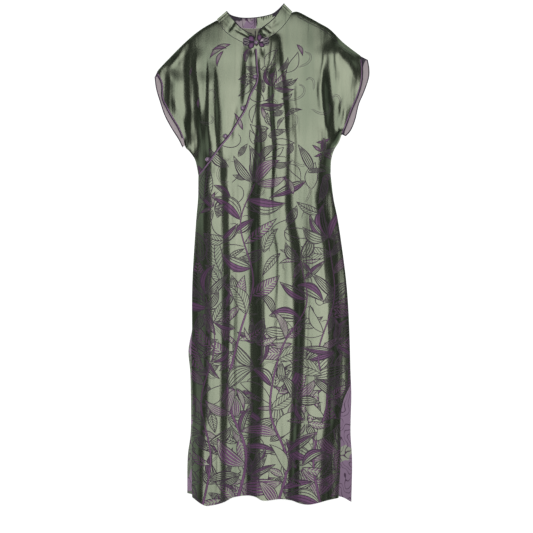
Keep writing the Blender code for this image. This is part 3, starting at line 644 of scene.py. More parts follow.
def line_collar(piece, lilac, dark):
    """Give the inside of the collar's back its own looks, with painted shade in its two corners."""
    piece.data.materials.append(lilac)
    piece.data.materials.append(dark)
    for face in piece.data.polygons:
        x, up = face.center.x / MM + MIDDLE_X, face.center.y / MM + MIDDLE_UP
        if face.center.z < CLOTH + COLLAR_TURN and face.normal.z > 0.3:
            (left, left_up), (right, right_up) = SHADED_CORNER_PLACES
            in_shaded_corner = (x < left and up > left_up) or (x > right and up > right_up)
            face.material_index = 2 if in_shaded_corner else 1 if x < LILAC_END else 0


def level(height):
    """A height function that is the same everywhere."""
    return lambda points: np.full(len(points), height)


def with_height(points, heights):
    """Flat points given their heights, or one height for all."""
    return np.column_stack([points, np.broadcast_to(heights, len(points))])


def band(name, line, half_width, half_height, sides=12):
    """A binding or cord with an oval section, along a line of points in space."""
    along = unit(np.gradient(line, axis=0))
    across = np.cross(along, np.array([0.0, 0.0, 1.0]))
    for k in range(1, len(line)):
        if np.linalg.norm(across[k]) < 1e-6:
            across[k] = across[k - 1]
        elif across[k] @ across[k - 1] < 0 < along[k] @ along[k - 1]:
            across[k] *= -1
    across = unit(across)
    over = np.cross(across, along)
    angles = np.linspace(0.0, 2 * math.pi, sides, endpoint=False)
    loops = [line + across * half_width * math.cos(a) + over * half_height * math.sin(a) for a in angles]
    loops = np.array(loops).transpose(1, 0, 2)
    middle = line[:, None, :]
    for end in (0, -1):
        loops[end] = middle[end] + (loops[end] - middle[end]) * 0.55
    return swept(name, loops)


# Looks: base colour, metallic and roughness of the woven satin's parts
Look = namedtuple("Look", "colour metallic roughness")
GROUND = Look((0.285, 0.310, 0.230, 1.0), 0.93, 0.25)
GROUND_SHADE = Look((0.176, 0.206, 0.148, 1.0), 0.93, 0.25)
SHEEN = (("Sheen Weight", 0.12), ("Sheen Roughness", 0.4), ("Sheen Tint", (0.70, 0.80, 0.60, 1.0)))
TONE_START = 0.34          # noise at which the satin's shade begins to turn into its ground
TONE_GAIN = 3.2
RELIEF = (0.6, 0.0014)     # strength and depth in metres of the satin's streaks and ripples
CONTOURS = 12.0            # faint lines on the reverse between the least and the most noise
CONTOUR_WIDTH = 0.07
FILL = Look((0.230, 0.100, 0.225, 1.0), 0.45, 0.40)
INK = Look((0.080, 0.045, 0.082, 1.0), 0.10, 0.50)
REVERSE = Look((0.270, 0.185, 0.275, 1.0), 0.75, 0.40)
REVERSE_GREEN = Look((0.330, 0.345, 0.280, 1.0), 0.85, 0.35)
# The slit's reverse: the reverse's own patches and lines on a green darkened as painted shade
SLIT_GREEN_SHADED = Look((0.150, 0.175, 0.130, 1.0), 0.85, 0.35)
NECK_INSIDE = Look((0.235, 0.235, 0.185, 1.0), 0.85, 0.40)
PIPING = Look((0.400, 0.240, 0.410, 1.0), 0.75, 0.36)
# The dark piping's colour, also used as painted shade beside the front's pipings, in the sleeves' hollow
# tops, at the underarms and in the collar's corners
DARK_PIPING_AND_SHADE = Look((0.045, 0.026, 0.055, 1.0), 0.20, 0.42)
FROG = Look((0.235, 0.118, 0.245, 1.0), 0.75, 0.48)
FROG_PALE = Look((0.560, 0.480, 0.520, 1.0), 0.80, 0.40)
COLLAR_LILAC = Look((0.330, 0.275, 0.310, 1.0), 0.85, 0.40)
BUTTON = Look((0.560, 0.380, 0.570, 1.0), 0.90, 0.22)
FACING_LOOK = Look((0.480, 0.415, 0.435, 1.0), 0.90, 0.42)
THREAD = Look((0.050, 0.040, 0.055, 1.0), 0.0, 0.70)
LEAF_WIDTH = (0.11, 0.13)  # least half width of a leaf against its length, and what its seed adds
LEAF_BEND = 1.5
# Kinds of leaf: a draw that gives each, and the draws between which it shows
Kind = namedtuple("Kind", "draw low high")
KINDS = {"full": Kind(0.08, 0.0, 0.15), "striped": Kind(0.22, 0.15, 0.30), "half": Kind(0.36, 0.30, 0.43),
         "veined": Kind(0.50, 0.43, 0.58), "lined": Kind(0.72, 0.58, 0.86), "plain": Kind(0.93, 0.86, 1.0)}
STEM, LINE, RIBBON = 1.0, 2.0, 3.0   # kinds of curve
LINE_CURL = 2.0            # millimetres of a single line's width, and of a hollow ribbon's
RIBBON_CURL = 5.0
LINE_WIDTH = 2.1           # millimetres of the woven outlines
FINE_LINE = 0.95           # half width of the lines inside a leaf


class Num:
    """A number that a material's nodes work out, with Python's signs for the sums."""

    def __init__(self, graph, socket):
        self.graph = graph
        self.socket = socket

    def op(self, operation, *others, clamp=False):
        """The result of a math node on this number and others."""
        return self.graph.math(operation, self, *others, clamp=clamp)

    def __rsub__(self, other):
        return self.graph.math("SUBTRACT", other, self)

    __add__ = partialmethod(op, "ADD")
    __sub__ = partialmethod(op, "SUBTRACT")
    __mul__ = partialmethod(op, "MULTIPLY")
    __rmul__ = partialmethod(op, "MULTIPLY")
    __truediv__ = partialmethod(op, "DIVIDE")
    __gt__ = partialmethod(op, "GREATER_THAN")
    __lt__ = partialmethod(op, "LESS_THAN")
    __abs__ = partialmethod(op, "ABSOLUTE")


class Graph:
    """Short calls for building a material's nodes."""

    def __init__(self, name):
        self.material = bpy.data.materials.new(name)
        self.material.use_nodes = True
        self.tree = self.material.node_tree
        self.shader = self.tree.nodes["Principled BSDF"]

    def feed(self, socket, value):
        """Link a socket, or set its value."""
        if isinstance(value, Num):
            value = value.socket
        if isinstance(value, bpy.types.NodeSocket):
            self.tree.links.new(value, socket)
        else:
            socket.default_value = value

    def node(self, kind, inputs, **settings):
        """A new node with its inputs fed."""
        made = self.tree.nodes.new(kind)
        for key, value in settings.items():
            setattr(made, key, value)
        for key, value in inputs.items():
            self.feed(made.inputs[key], value)
        return made

    def math(self, operation, *values, clamp=False):
        """The result of a math node."""
        made = self.node("ShaderNodeMath", dict(enumerate(values)), operation=operation, use_clamp=clamp)
        return Num(self, made.outputs[0])

    def soft(self, value, width=0.4):
        """One where a distance in millimetres is above zero, with a short ramp."""
        return value.op("MULTIPLY_ADD", 1.0 / width, 0.5, clamp=True)

    def mixed(self, share, low, high):
        """A number between two others."""
        return share * high + (1.0 - share) * low

    def blended(self, share, low, high):
        """A colour between two others."""
        made = self.node("ShaderNodeMix", {0: share, 6: low, 7: high}, data_type="RGBA")
        return made.outputs[2]

    def attribute(self, name):
        """The three numbers of a mesh attribute."""
        read = self.node("ShaderNodeAttribute", {}, attribute_name=name)
        parts = self.node("ShaderNodeSeparateXYZ", {0: read.outputs["Vector"]}).outputs
        return [Num(self, part) for part in parts]

    def noise(self, scale, stretch, detail=3.0):
        """Noise in the piece's own space, drawn out along some axes."""
        place = self.node("ShaderNodeTexCoord", {})
        spread = self.node("ShaderNodeMapping", {"Vector": place.outputs["Object"], "Scale": stretch})
        made = self.node("ShaderNodeTexNoise",
                         {"Vector": spread.outputs[0], "Scale": scale, "Detail": detail})
        return Num(self, made.outputs["Fac"])

    def finish(self, colour, metallic, roughness, bump=None, strength=0.1, distance=0.001):
        """Feed the shader's colour, metallic, roughness and bump."""
        self.feed(self.shader.inputs["Base Color"], colour)
        self.feed(self.shader.inputs["Metallic"], metallic)
        self.feed(self.shader.inputs["Roughness"], roughness)
        if bump is not None:
            made = self.node("ShaderNodeBump",
                             {"Height": bump, "Strength": strength, "Distance": distance})
            self.feed(self.shader.inputs["Normal"], made.outputs[0])
        return self.material


def drawn(seed, factor):
    """Another even draw from a motif's seed."""
    return (seed * factor).op("FRACT")


def leaf_layer(graph, attribute):
    """Cover, fill and ink of one layer of leaves and petals."""
    along, across, code = graph.attribute(attribute)
    length = code.op("FLOOR")
    seed = code - length
    share = along.op("DIVIDE", length.op("MAXIMUM", 1.0), clamp=True)
    bend = (drawn(seed, 5.0) - 0.5) * length * LEAF_BEND
    off = across - bend * share * (1.0 - share)
    widest = length * (drawn(seed, 3.7) * LEAF_WIDTH[1] + LEAF_WIDTH[0])
    half = widest * (share.op("POWER", 0.8) * math.pi).op("SINE")
    edge = half - abs(off)
    draw = drawn(seed, 11.0)

    def line(gap):
        return graph.soft(FINE_LINE - gap)

    def shows(name):
        return (draw > KINDS[name].low) * (draw < KINDS[name].high)

    outline = 1.0 - graph.soft(edge - LINE_WIDTH)
    spacing = length * 0.06 + 3.4
    run = (along - abs(off) * 1.1) / spacing
    gap = abs(run.op("FRACT") - 0.5) * spacing
    veins = line(abs(off)).op("MAXIMUM", line(gap) * graph.soft(edge - 2.4))
    strand = half.op("MAXIMUM", 0.5) / 2.6
    strands = line((off / strand).op("PINGPONG", 0.5) * strand) * graph.soft(half - 5.0, 3.0)
    stripes = graph.soft(spacing * 0.27 - gap) * graph.soft(abs(off) - 1.2)
    fill = (shows("full") * (1.0 - strands)).op("MAXIMUM", shows("striped") * stripes)
    fill = fill.op("MAXIMUM", shows("half") * (off > 0.0))
    ink = outline.op("MAXIMUM", shows("veined") * veins)
    ink = ink.op("MAXIMUM", (shows("half") + shows("lined")) * strands)
    return graph.soft(edge - 0.25), fill, ink


def curve_layer(graph, attribute):
    """Cover, fill and ink of one layer of stems, single lines and hollow ribbons."""
    off, half, kind = graph.attribute(attribute)
    edge = half - abs(off)
    line = (kind > LINE - 0.5) * (kind < LINE + 0.5)
    rim = 1.0 - graph.soft(edge - 0.8)
    return graph.soft(edge) * (kind > 0.5), kind < STEM + 0.5, line.op("MAXIMUM", rim)


LEAF_LAYERS = ("print_leaf_a", "print_leaf_b", "print_leaf_c")
FLOWER_LAYERS = ("print_leaf_d", "print_leaf_e")
LAYERS = ("print_tendril", *LEAF_LAYERS, "print_stem", *FLOWER_LAYERS)


def satin(name, printed):
    """The jacquard satin: shiny ground with a matte woven design."""
    graph = Graph(name)
    broad = graph.noise(9.0, (1.0, 0.35, 1.0))
    streak = graph.noise(42.0, (1.0, 0.09, 1.0), 2.0)
    ripple = graph.noise(16.0, (1.0, 0.22, 1.0), 1.0)
    tone = (broad * 0.5 + streak * 0.5 - TONE_START) * TONE_GAIN
    colour = graph.blended(tone, GROUND_SHADE.colour, GROUND.colour)
    metallic = GROUND.metallic
    roughness = streak * 0.10 + (GROUND.roughness - 0.05)
    if printed:
        fill = graph.math("ADD", 0.0, 0.0)
        ink = fill
        for layer in LAYERS:
            drawing = leaf_layer if "leaf" in layer else curve_layer
            cover, layer_fill, layer_ink = drawing(graph, layer)
            fill = graph.mixed(cover, fill, layer_fill)
            ink = graph.mixed(cover, ink, layer_ink)
        colour = graph.blended(fill, colour, FILL.colour)
        colour = graph.blended(ink, colour, INK.colour)
        metallic = graph.mixed(ink, graph.mixed(fill, metallic, FILL.metallic), INK.metallic)
        roughness = graph.mixed(ink, graph.mixed(fill, roughness, FILL.roughness), INK.roughness)
    for socket, value in SHEEN:
        graph.feed(graph.shader.inputs[socket], value)
    return graph.finish(colour, metallic, roughness, streak * 1.7 + ripple * 7.0, *RELIEF)


def plain_cloth(name, look, scale=400.0):
    """A plain woven or corded finish with fine uneven threads."""
    graph = Graph(name)
    fleck = graph.noise(scale, (1.0, 0.4, 1.0))
    darker = tuple(channel * 0.75 for channel in look.colour[:3]) + (1.0,)
    colour = graph.blended(fleck, darker, look.colour)
    return graph.finish(colour, look.metallic, look.roughness, fleck, 0.25, 0.0006)


def reverse_cloth(name, ground, patches, share):
    """The inside of the satin: a ground with patches of another look and faint lines."""
    graph = Graph(name)
    patch = graph.noise(16.0, (1.0, 0.8, 1.0), 2.0) > share
    colour = graph.blended(patch, ground.colour, patches.colour)
    contour = (graph.noise(26.0, (1.0, 0.6, 1.0), 1.0) * CONTOURS).op("FRACT")
    colour = graph.blended(abs(contour - 0.5) < CONTOUR_WIDTH, colour, INK.colour)
    metallic = graph.mixed(patch, ground.metallic, patches.metallic)
    streak = graph.noise(60.0, (1.0, 0.08, 1.0), 4.0)
    return graph.finish(colour, metallic, ground.roughness, streak, 0.3, 0.001)


Stem = namedtuple("Stem", "path width leaf gap tip")
STEMS = [
    Stem([(-152, -20), (-128, 120), (-152, 260), (-118, 400), (-140, 520)], 6.0, 84, 52, "fan"),
    Stem([(-70, -20), (-40, 130), (-86, 270), (-58, 420), (-22, 560), (-54, 700), (-20, 800)],
         8.0, 92, 62, "fan"),
    Stem([(30, -20), (62, 110), (20, 240), (48, 390), (110, 500), (96, 610)], 7.5, 88, 56, "star"),
    Stem([(150, -20), (128, 120), (162, 260), (140, 380), (180, 520), (166, 660)], 6.5, 84, 56, "fan"),
    Stem([(-58, 420), (-104, 540), (-84, 640), (-122, 740)], 4.5, 60, 58, "star"),
    Stem([(-20, 800), (-64, 890), (-18, 980), (26, 1040)], 4.2, 54, 60, "fan"),
    Stem([(96, 610), (58, 720), (100, 810), (150, 880)], 4.2, 50, 70, "star")]
# Single leaves in millimetres. Columns: x and height of the foot, angle in degrees and length
FALLING = [
    (-78, 1150, 215, 66), (-96, 1134, 250, 46), (-88, 1140, 190, 40), (-40, 1104, 68, 42),
    (-180, 1072, 75, 22), (-158, 990, 85, 28), (86, 1150, -65, 34), (150, 800, 40, 40), (186, 770, 70, 30),
    (8, 1062, 40, 36), (2, 1010, 60, 44), (22, 985, 30, 40), (134, 905, 20, 40), (-150, 640, 50, 34),
    (10, 960, 110, 38)]
# Curled ribbons in millimetres. Columns: x and height of the start, angle in degrees and size
HOOKS = [
    (96, 1095, 20, 36), (70, 1010, 10, 44), (128, 985, -30, 40), (60, 930, 30, 46), (44, 905, 60, 40),
    (76, 860, -40, 36), (-150, 955, -20, 28), (128, 1040, 80, 26), (196, 1005, 100, 22), (40, 990, 100, 26),
    (110, 760, 60, 40), (-120, 1010, 70, 24)]


def read_all(items, name, width, kind):
    """One property of all of a mesh's items, a row for each."""
    values = np.zeros(len(items) * width, dtype=kind)
    items.foreach_get(name, values)
    return values.reshape(-1, width)


class Design:
    """The woven design of one panel: each face shows at most one motif on each layer."""

    def __init__(self, piece, clear):
        mesh = piece.data
        self.mesh = mesh
        self.clear = clear      # millimetres that a motif keeps clear round itself
        self.spots = read_all(mesh.vertices, "co", 3, float)[:, :2] / MM
        self.centres = read_all(mesh.polygons, "center", 3, float)[:, :2] / MM
        self.corner_spot = read_all(mesh.loops, "vertex_index", 1, int)[:, 0]
        totals = read_all(mesh.polygons, "loop_total", 1, int)[:, 0]
        self.corner_face = np.repeat(np.arange(len(totals)), totals)
        self.values = {layer: np.zeros((len(self.corner_spot), 3)) for layer in LAYERS}
        self.taken = {layer: np.zeros(len(totals), dtype=bool) for layer in LAYERS}
        self.shown = np.zeros(len(totals), dtype=bool)

    def near(self, middle, reach):
        """Faces within a square about a place."""
        return np.nonzero(np.abs(self.centres - middle).max(axis=1) < reach)[0]

    def place(self, layers, faces, local, code, crowd):
        """Give faces a motif's own coordinates on the first free layer, unless the place is crowded."""
        if not len(faces) or self.shown[faces].mean() > crowd:
            return
        for layer in layers:
            if not self.taken[layer][faces].any():
                self.taken[layer][faces] = True
                self.shown[faces] = True
                chosen = np.zeros(len(self.centres), dtype=bool)
                chosen[faces] = True
                corners = np.nonzero(chosen[self.corner_face])[0]
                places = local(self.spots[self.corner_spot[corners]])
                self.values[layer][corners] = np.column_stack([places, np.full(len(corners), code)])
                return

    def leaf(self, layers, x, up, angle, length, seed, crowd=1.0):
        """A leaf or petal from its foot outwards."""
        length = round(length)
        seed = 0.02 + 0.96 * seed
        bend = (seed * 5.0 % 1.0 - 0.5) * LEAF_BEND * length
        ratio = LEAF_WIDTH[0] + LEAF_WIDTH[1] * (seed * 3.7 % 1.0)
        origin = to_world([(x, up)])[0] / MM
        turn = math.radians(angle)
        axes = np.array([[math.cos(turn), -math.sin(turn)], [math.sin(turn), math.cos(turn)]])

        def local(points):
            return (points - origin) @ axes
        near = self.near(origin, length + self.clear)
        along, across = local(self.centres[near]).T
        share = np.clip(along / length, 0.0, 1.0)
        half = length * ratio * np.sin(math.pi * share ** 0.8) + self.clear
        off = across - bend * share * (1.0 - share)
        covered = (along > -self.clear) & (along < length + self.clear) & (np.abs(off) < half)
        self.place(layers, near[covered], local, length + seed, crowd)

    def curve(self, layer, path, widths, kind):
        """A stem, line or ribbon along a path in the panel's millimetres."""
        near = self.near((path.min(axis=0) + path.max(axis=0)) / 2, np.ptp(path, axis=0).max() / 2 + 12)
        near = near[distance_to(path, self.centres[near]) < widths.max() / 2 + self.clear]
        self.place((layer,), near, lambda points: off_and_half(path, widths / 2, points), kind, 1.0)

    def write(self):
        """Keep the coordinates on the mesh, for the material to read."""
        for layer, values in self.values.items():
            kept = self.mesh.attributes.new(layer, "FLOAT_VECTOR", "CORNER")
            kept.data.foreach_set("vector", values.astype(np.float32).ravel())


def off_and_half(path, halves, points):
    """Signed distance from a path and the path's half width at the nearest place."""
    nearest = np.full(len(points), 1e9)
    off = np.zeros(len(points))
    half = np.zeros(len(points))
    for start, end, first, last in zip(path[:-1], path[1:], halves[:-1], halves[1:]):
        step = end - start
        share = np.clip((points - start) @ step / max(step @ step, 1e-9), 0.0, 1.0)
        gap = points - start - share[:, None] * step
        size = np.hypot(gap[:, 0], gap[:, 1])
        closer = size < nearest
        nearest[closer] = size[closer]
        side = np.sign(step[0] * gap[:, 1] - step[1] * gap[:, 0])
        off[closer] = (side * size)[closer]
        half[closer] = (first + (last - first) * share)[closer]
    return np.column_stack([off, half])


def seed_of(draw, *kinds):
    """A seed that gives one of the named kinds of leaf."""
    return ((draw.randrange(1, 10) + KINDS[draw.choice(kinds)].draw) / 11.0 - 0.02) / 0.96


def flower(design, draw, x, up, angle, length, petals, spread):
    """Petals that open from one foot: a trumpet, or a star where they spread all round."""
    for number in range(petals):
        turn = spread * (number / (petals - 1) - 0.5)
        size = length * (1.0 - 0.45 * abs(turn) / 180) * draw.uniform(0.88, 1.1)
        heading = math.radians(angle + turn)
        foot = (x + 0.07 * length * math.cos(heading), up + 0.07 * length * math.sin(heading))
        design.leaf(FLOWER_LAYERS + LEAF_LAYERS, *foot, angle + turn, size,
                    seed_of(draw, "full", "half", "lined", "lined", "striped"))


def grow(design, draw, stem):
    """A stem with its leaves in turn on both sides, and the flower that it carries."""
    path = smooth_line(stem.path, 0.006) / MM
    reach = arc_lengths(path)
    design.curve("print_stem", path, stem.width * (1.0 - 0.65 * reach / reach[-1]), STEM)
    way = np.gradient(path, axis=0)
    heading = np.degrees(np.unwrap(np.arctan2(way[:, 1], way[:, 0])))
    x, up = path[-1] + np.array([MIDDLE_X, MIDDLE_UP])
    petals, spread, size = (5, 110, 1.05) if stem.tip == "fan" else (6, 300, 0.75)
    flower(design, draw, x, up, heading[-1], stem.leaf * size, petals, spread)
    place = stem.gap * 0.4
    side = 1
    while place < reach[-1] - 12:
        x, up = (np.interp(place, reach, path[:, k]) for k in range(2))
        angle = np.interp(place, reach, heading) + side * draw.uniform(38, 72)
        design.leaf(FLOWER_LAYERS + LEAF_LAYERS, x + MIDDLE_X, up + MIDDLE_UP, angle,
                    stem.leaf * draw.uniform(0.75, 1.15), seed_of(draw, *KINDS))
        place += stem.gap * draw.uniform(0.75, 1.25)
        side = -side


def hook(design, x, up, angle, size, kind, width):
    """A curled ribbon or tendril."""
    turns = np.linspace(0.0, 1.0, 14)
    bend = np.radians(angle) + 2.6 * turns ** 2
    steps = np.column_stack([np.cos(bend), np.sin(bend)]) * size / 14
    start = to_world([(x, up)])[0] / MM
    path = np.vstack([start, start + np.cumsum(steps, axis=0)])
    shares = np.minimum(1.0, 0.15 + 0.8 * np.linspace(0.0, 1.0, 15))
    widths = width * (0.5 + 0.5 * np.sin(math.pi * shares))
    design.curve("print_tendril", path, widths, kind)


def plant(design, seed):
    """The whole design of a panel: stems, flowers, leaves and curls, dense at the hem and sparse above."""
    draw = random.Random(seed)

    def scatter(count, low, high, lean, sizes, left=-180, right=220):
        for _ in range(count):
            up = low + (high - low) * draw.random() ** lean
            yield draw.uniform(left, right), up, draw.uniform(0, 360), draw.uniform(*sizes)

    for stem in STEMS:
        grow(design, draw, stem)
    for x, up, angle, length in FALLING:
        design.leaf(LEAF_LAYERS, x, up, angle, length, seed_of(draw, "full", "half"))
    for x, up, angle, size in HOOKS:
        hook(design, x, up, angle, size * 1.5, RIBBON, RIBBON_CURL)
    for x, up, angle, size in scatter(22, 0, 560, 1.1, (56, 92)):
        petals, spread = draw.choice([(5, 120), (6, 300), (7, 150)])
        flower(design, draw, x, up, angle, size, petals, spread)
    for x, up, angle, size in scatter(420, -20, 430, 1.0, (50, 110)):
        design.leaf(LEAF_LAYERS, x, up, angle, size, seed_of(draw, *KINDS, "lined", "full", "striped"))
    thin = ("lined", "plain", "veined", "lined")
    for x, up, angle, size in scatter(110, 850, 1090, 1.2, (28, 62), -25, 66):
        design.leaf(LEAF_LAYERS, x, up, angle, size, seed_of(draw, *thin), 0.45)
    for x, up, angle, size in scatter(260, 380, 850, 1.4, (50, 110)):
        design.leaf(LEAF_LAYERS, x, up, angle, size, seed_of(draw, *thin, "half"), 0.42)
    for number, (x, up, angle, size) in enumerate(scatter(260, 0, 900, 1.1, (40, 100))):
        kind, width = (LINE, LINE_CURL) if number % 3 else (RIBBON, RIBBON_CURL)
        hook(design, x, up, angle, size, kind, width)
    design.write()


def dress(piece, material, slot, *nodes):
    """Give a piece its finish and let it stand for the solids it shows."""
    piece.data.materials.append(material)
    if nodes:
        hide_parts(*nodes)
    return piece


# Places on the back's inner face, in the tables' millimetres
NECK_FOOT = (-15, 1140)    # the inside of the neck is above it, within NECK_REACH metres to each side
NECK_REACH = 0.080
SLEEVE_HOLLOW_SHADE = (243, 1072)  # the sleeves' hollow tops, painted dark as shade, are above it and further out
UNDERARM_SHADE = 0.030     # radius in metres of the shade at each underarm
LEFT_SLIT = (-160, 430)    # the left slit's inside, its reverse painted darker as shade, is below it and to its left


def polygon_area(ring):
    """Area inside a flat ring."""
    x, y = ring[:, 0], ring[:, 1]
    return abs((x * np.roll(y, -1) - y * np.roll(x, -1)).sum()) / 2


def panels(green, *inner_looks):
    """Back, main front and side front. The inner looks are the back's reverse, its neck, the dark painted
    shade in the sleeves' hollows and at the underarms, and the slit's reverse darkened by painted shade.
    """
    ring = back_ring()
    back = shell("back_panel_cloth", ring, lattice(ring, *BACK_STEPS), level(CLOTH), CLOTH)
    dress(back, green, "satin_green", "back_panel")
    for look in inner_looks:
        back.data.materials.append(look)
    neck, hollow, slit = to_world([NECK_FOOT, SLEEVE_HOLLOW_SHADE, LEFT_SLIT])
    underarms = [line[line[:, 1].argmin()] for line in MOUTH_LINES]
    # Faces in the sleeves' hollow tops and round the underarms are painted dark as shade
    for face in back.data.polygons:
        x, y, _ = face.center
        if face.normal.z > 0.5:
            in_neck = y > neck[1] and abs(x - neck[0]) < NECK_REACH
            in_hollow_shade = abs(x) > hollow[0] and y > hollow[1]
            at_underarm_shade = min(math.dist((x, y), end) for end in underarms) < UNDERARM_SHADE
            # the slit's reverse, darkened as painted shade
            in_shaded_slit = x < slit[0] and y < slit[1]
            face.material_index = 4 if in_shaded_slit else 3 if in_hollow_shade or at_underarm_shade else 2 if in_neck else 1
    fronts = []
    for name, ring, height in (("front_main", front_ring(), main_height),
                               ("front_side", side_ring(), front_height)):
        piece = shell(name + "_cloth", ring, lattice(ring, *FINE_STEPS), height)
        fronts.append(dress(piece, green, "satin_green", name))
    for piece, seed, clear in ((back, 5, 5.0), (fronts[0], 11, 3.4), (fronts[1], 11, 3.4)):
        plant(Design(piece, clear), seed)
    return back, *fronts


def round_ball(name, centre, radius, squash):
    """A knotted ball of satin cord, with shallow grooves round it."""
    shape = bmesh.new()
    bmesh.ops.create_uvsphere(shape, u_segments=32, v_segments=20, radius=radius)
    for vertex in shape.verts:
        x, y, z = vertex.co
        groove = math.cos(5 * math.atan2(y, x) + 6.0 * z / radius) * (1.0 - (z / radius) ** 2)
        size = 1.0 - 0.035 * (1.0 - groove)
        vertex.co = (x * size + centre[0], y * size + centre[1], z * squash + centre[2])
    mesh = bpy.data.meshes.new(name)
    shape.to_mesh(mesh)
    shape.free()
    mesh.shade_smooth()
    piece = placed(name, mesh)
    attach(piece, "root")
    return piece


def cord(name, line, height, section, look, slot, *nodes):
    """A band along a flat line at its height, with its finish."""
    return dress(band(name, with_height(line, height), *section), look, slot, *nodes)


def bindings(piping, dark):
    """Piping on the collar, placket and sleeve mouths, and the dark shade beside the front's piping."""
    feet, tops, ways = collar_lines()
    line = tops + ways * PIPING_RADIUS
    height = line[:, 2] + PIPING_RADIUS + SEAM_GAP - CLOTH / 2
    cord("collar_binding", line[:, :2], height, ROUND_CORD, dark, "piping_purple", "piping_collar")
    line = PLACKET[1:-1]
    cord("placket_binding", line, main_height(line) - CLOTH / 2, PLACKET_CORD, piping,
         "piping_purple", "piping_placket")
    # A dark band of painted shade beside the placket's piping
    line = shifted(PLACKET, -PLACKET_SHADE_OFF)[1:-1]
    cord("placket_painted_shade", line, front_height(line) + PLACKET_SHADE_RISE, PLACKET_SHADE, dark, "piping_purple")
    for side, inward, front, back in (("left", 1.0, LEFT_MOUTH_FRONT, LEFT_MOUTH_BACK),
                                      ("right", -1.0, RIGHT_MOUTH_FRONT, RIGHT_MOUTH_BACK)):
        line = shifted(front, inward * PIPING_RADIUS)
        cord("front_binding_" + side, line, front_height(line) - CLOTH / 2, SLEEVE_CORD, piping,
             "piping_purple", "piping_front_" + side)
        # A dark band of painted shade beside the front's piping at the sleeve mouth
        line = trimmed(shifted(line, -inward * SLEEVE_SHADE_OFF), SHADE_TRIM, SHADE_TRIM)
        cord("front_painted_shade_" + side, line, front_height(line) - CLOTH / 2 - SLEEVE_SHADE_SINK, SLEEVE_SHADE,
             dark, "piping_purple")
        cord("back_binding_" + side, shifted(back, inward * PIPING_RADIUS), PIPING_RADIUS + SEAM_GAP / 3,
             ROUND_CORD, dark, "piping_purple", "piping_back_" + side)


def facings(look):
    """The strip of lining inside each sleeve mouth, narrower towards its ends."""
    made = []
    for side, inward, line in (("left", 1.0, LEFT_MOUTH_BACK), ("right", -1.0, RIGHT_MOUTH_BACK)):
        outer = shifted(line, inward * (2 * PIPING_RADIUS + 2 * SEAM_GAP))
        run = arc_lengths(line)
        from_end = np.minimum(run, run[-1] - run) - FACING_END
        taper = np.sqrt(np.clip(from_end / FACING_TAPER, 0.08, 1.0))
        inner = outer + (shifted(line, inward * FACING_WIDTH) - outer) * taper[:, None]
        ring = closed_outline(trimmed(outer, FACING_END, FACING_END),
                              trimmed(inner, FACING_END, FACING_END)[::-1])
        piece = shell("facing_cloth_" + side, ring, lattice(ring, *FACING_STEPS),
                      level(BACK_TOP + SEAM_GAP + FACING), FACING)
        made.append(dress(piece, look, "facing_lilac", "facing_" + side))
    return made


# Petals of the frog, in millimetres: foot, tip and half width
Petal = namedtuple("Petal", "foot_x foot_up tip_x tip_up half")
LEFT_PETALS = [
    Petal(-31.4, 1160, -47.0, 1164.5, 2.5), Petal(-32.7, 1156, -48.0, 1156.2, 2.5),
    Petal(-32.0, 1152, -46.2, 1147.5, 2.5), Petal(-19.5, 1156.5, -33.0, 1169.5, 6.6),
    Petal(-19.5, 1154, -33.0, 1141.5, 6.6)]
RIGHT_PETALS = [
    Petal(1.6, 1160, 16, 1165.5, 2.4), Petal(2.8, 1156, 17.5, 1157.5, 2.4),
    Petal(2.8, 1152.5, 15.8, 1149.3, 2.4), Petal(-8.5, 1156.5, -5, 1173.5, 5.6),
    Petal(-9.0, 1153, 4.5, 1144.8, 5.2), Petal(-7.2, 1155, 7.0, 1164, 4.0)]
PETAL_POINTS = 40
PETAL_DOME = [(1.0, 0.0), (0.93, 0.0006), (0.78, 0.0010), (0.45, 0.0012), (0.12, 0.0012)]  # size and rise
PETAL_SEAT = 0.0007        # over the seat of the wing
PETAL_CORD = (0.0007, 0.0007, 8)
PETAL_CORD_RISE = 0.0008
WING_WALL = 0.0004
WING_BULGE = 0.0006        # reached over WING_ROUND from the edge
WING_ROUND = 0.002


def petal(name, row, seat, look, edge_look):
    """One domed petal with a cord round its edge."""
    foot, tip = to_world([(row.foot_x, row.foot_up), (row.tip_x, row.tip_up)])
    run = tip - foot
    length = np.linalg.norm(run)
    run /= length
    across = square_to(run)
    turns = np.linspace(0.0, 2 * math.pi, PETAL_POINTS, endpoint=False)
    share = 0.5 - 0.5 * np.cos(turns)
    half = row.half * MM * np.sin(math.pi * share ** 1.35) ** 0.7 * np.sign(np.sin(turns) + 1e-12)
    outline = foot + share[:, None] * length * run + half[:, None] * across
    middle = outline.mean(axis=0)
    rings = [with_height(middle + (outline - middle) * size, seat + rise) for size, rise in PETAL_DOME]
    dress(swept(name, np.array(rings)), look, "satin_purple")
    cord(name + "_cord", np.vstack([outline, outline[:2]]), seat + PETAL_CORD_RISE, PETAL_CORD, edge_look,
         "satin_purple")


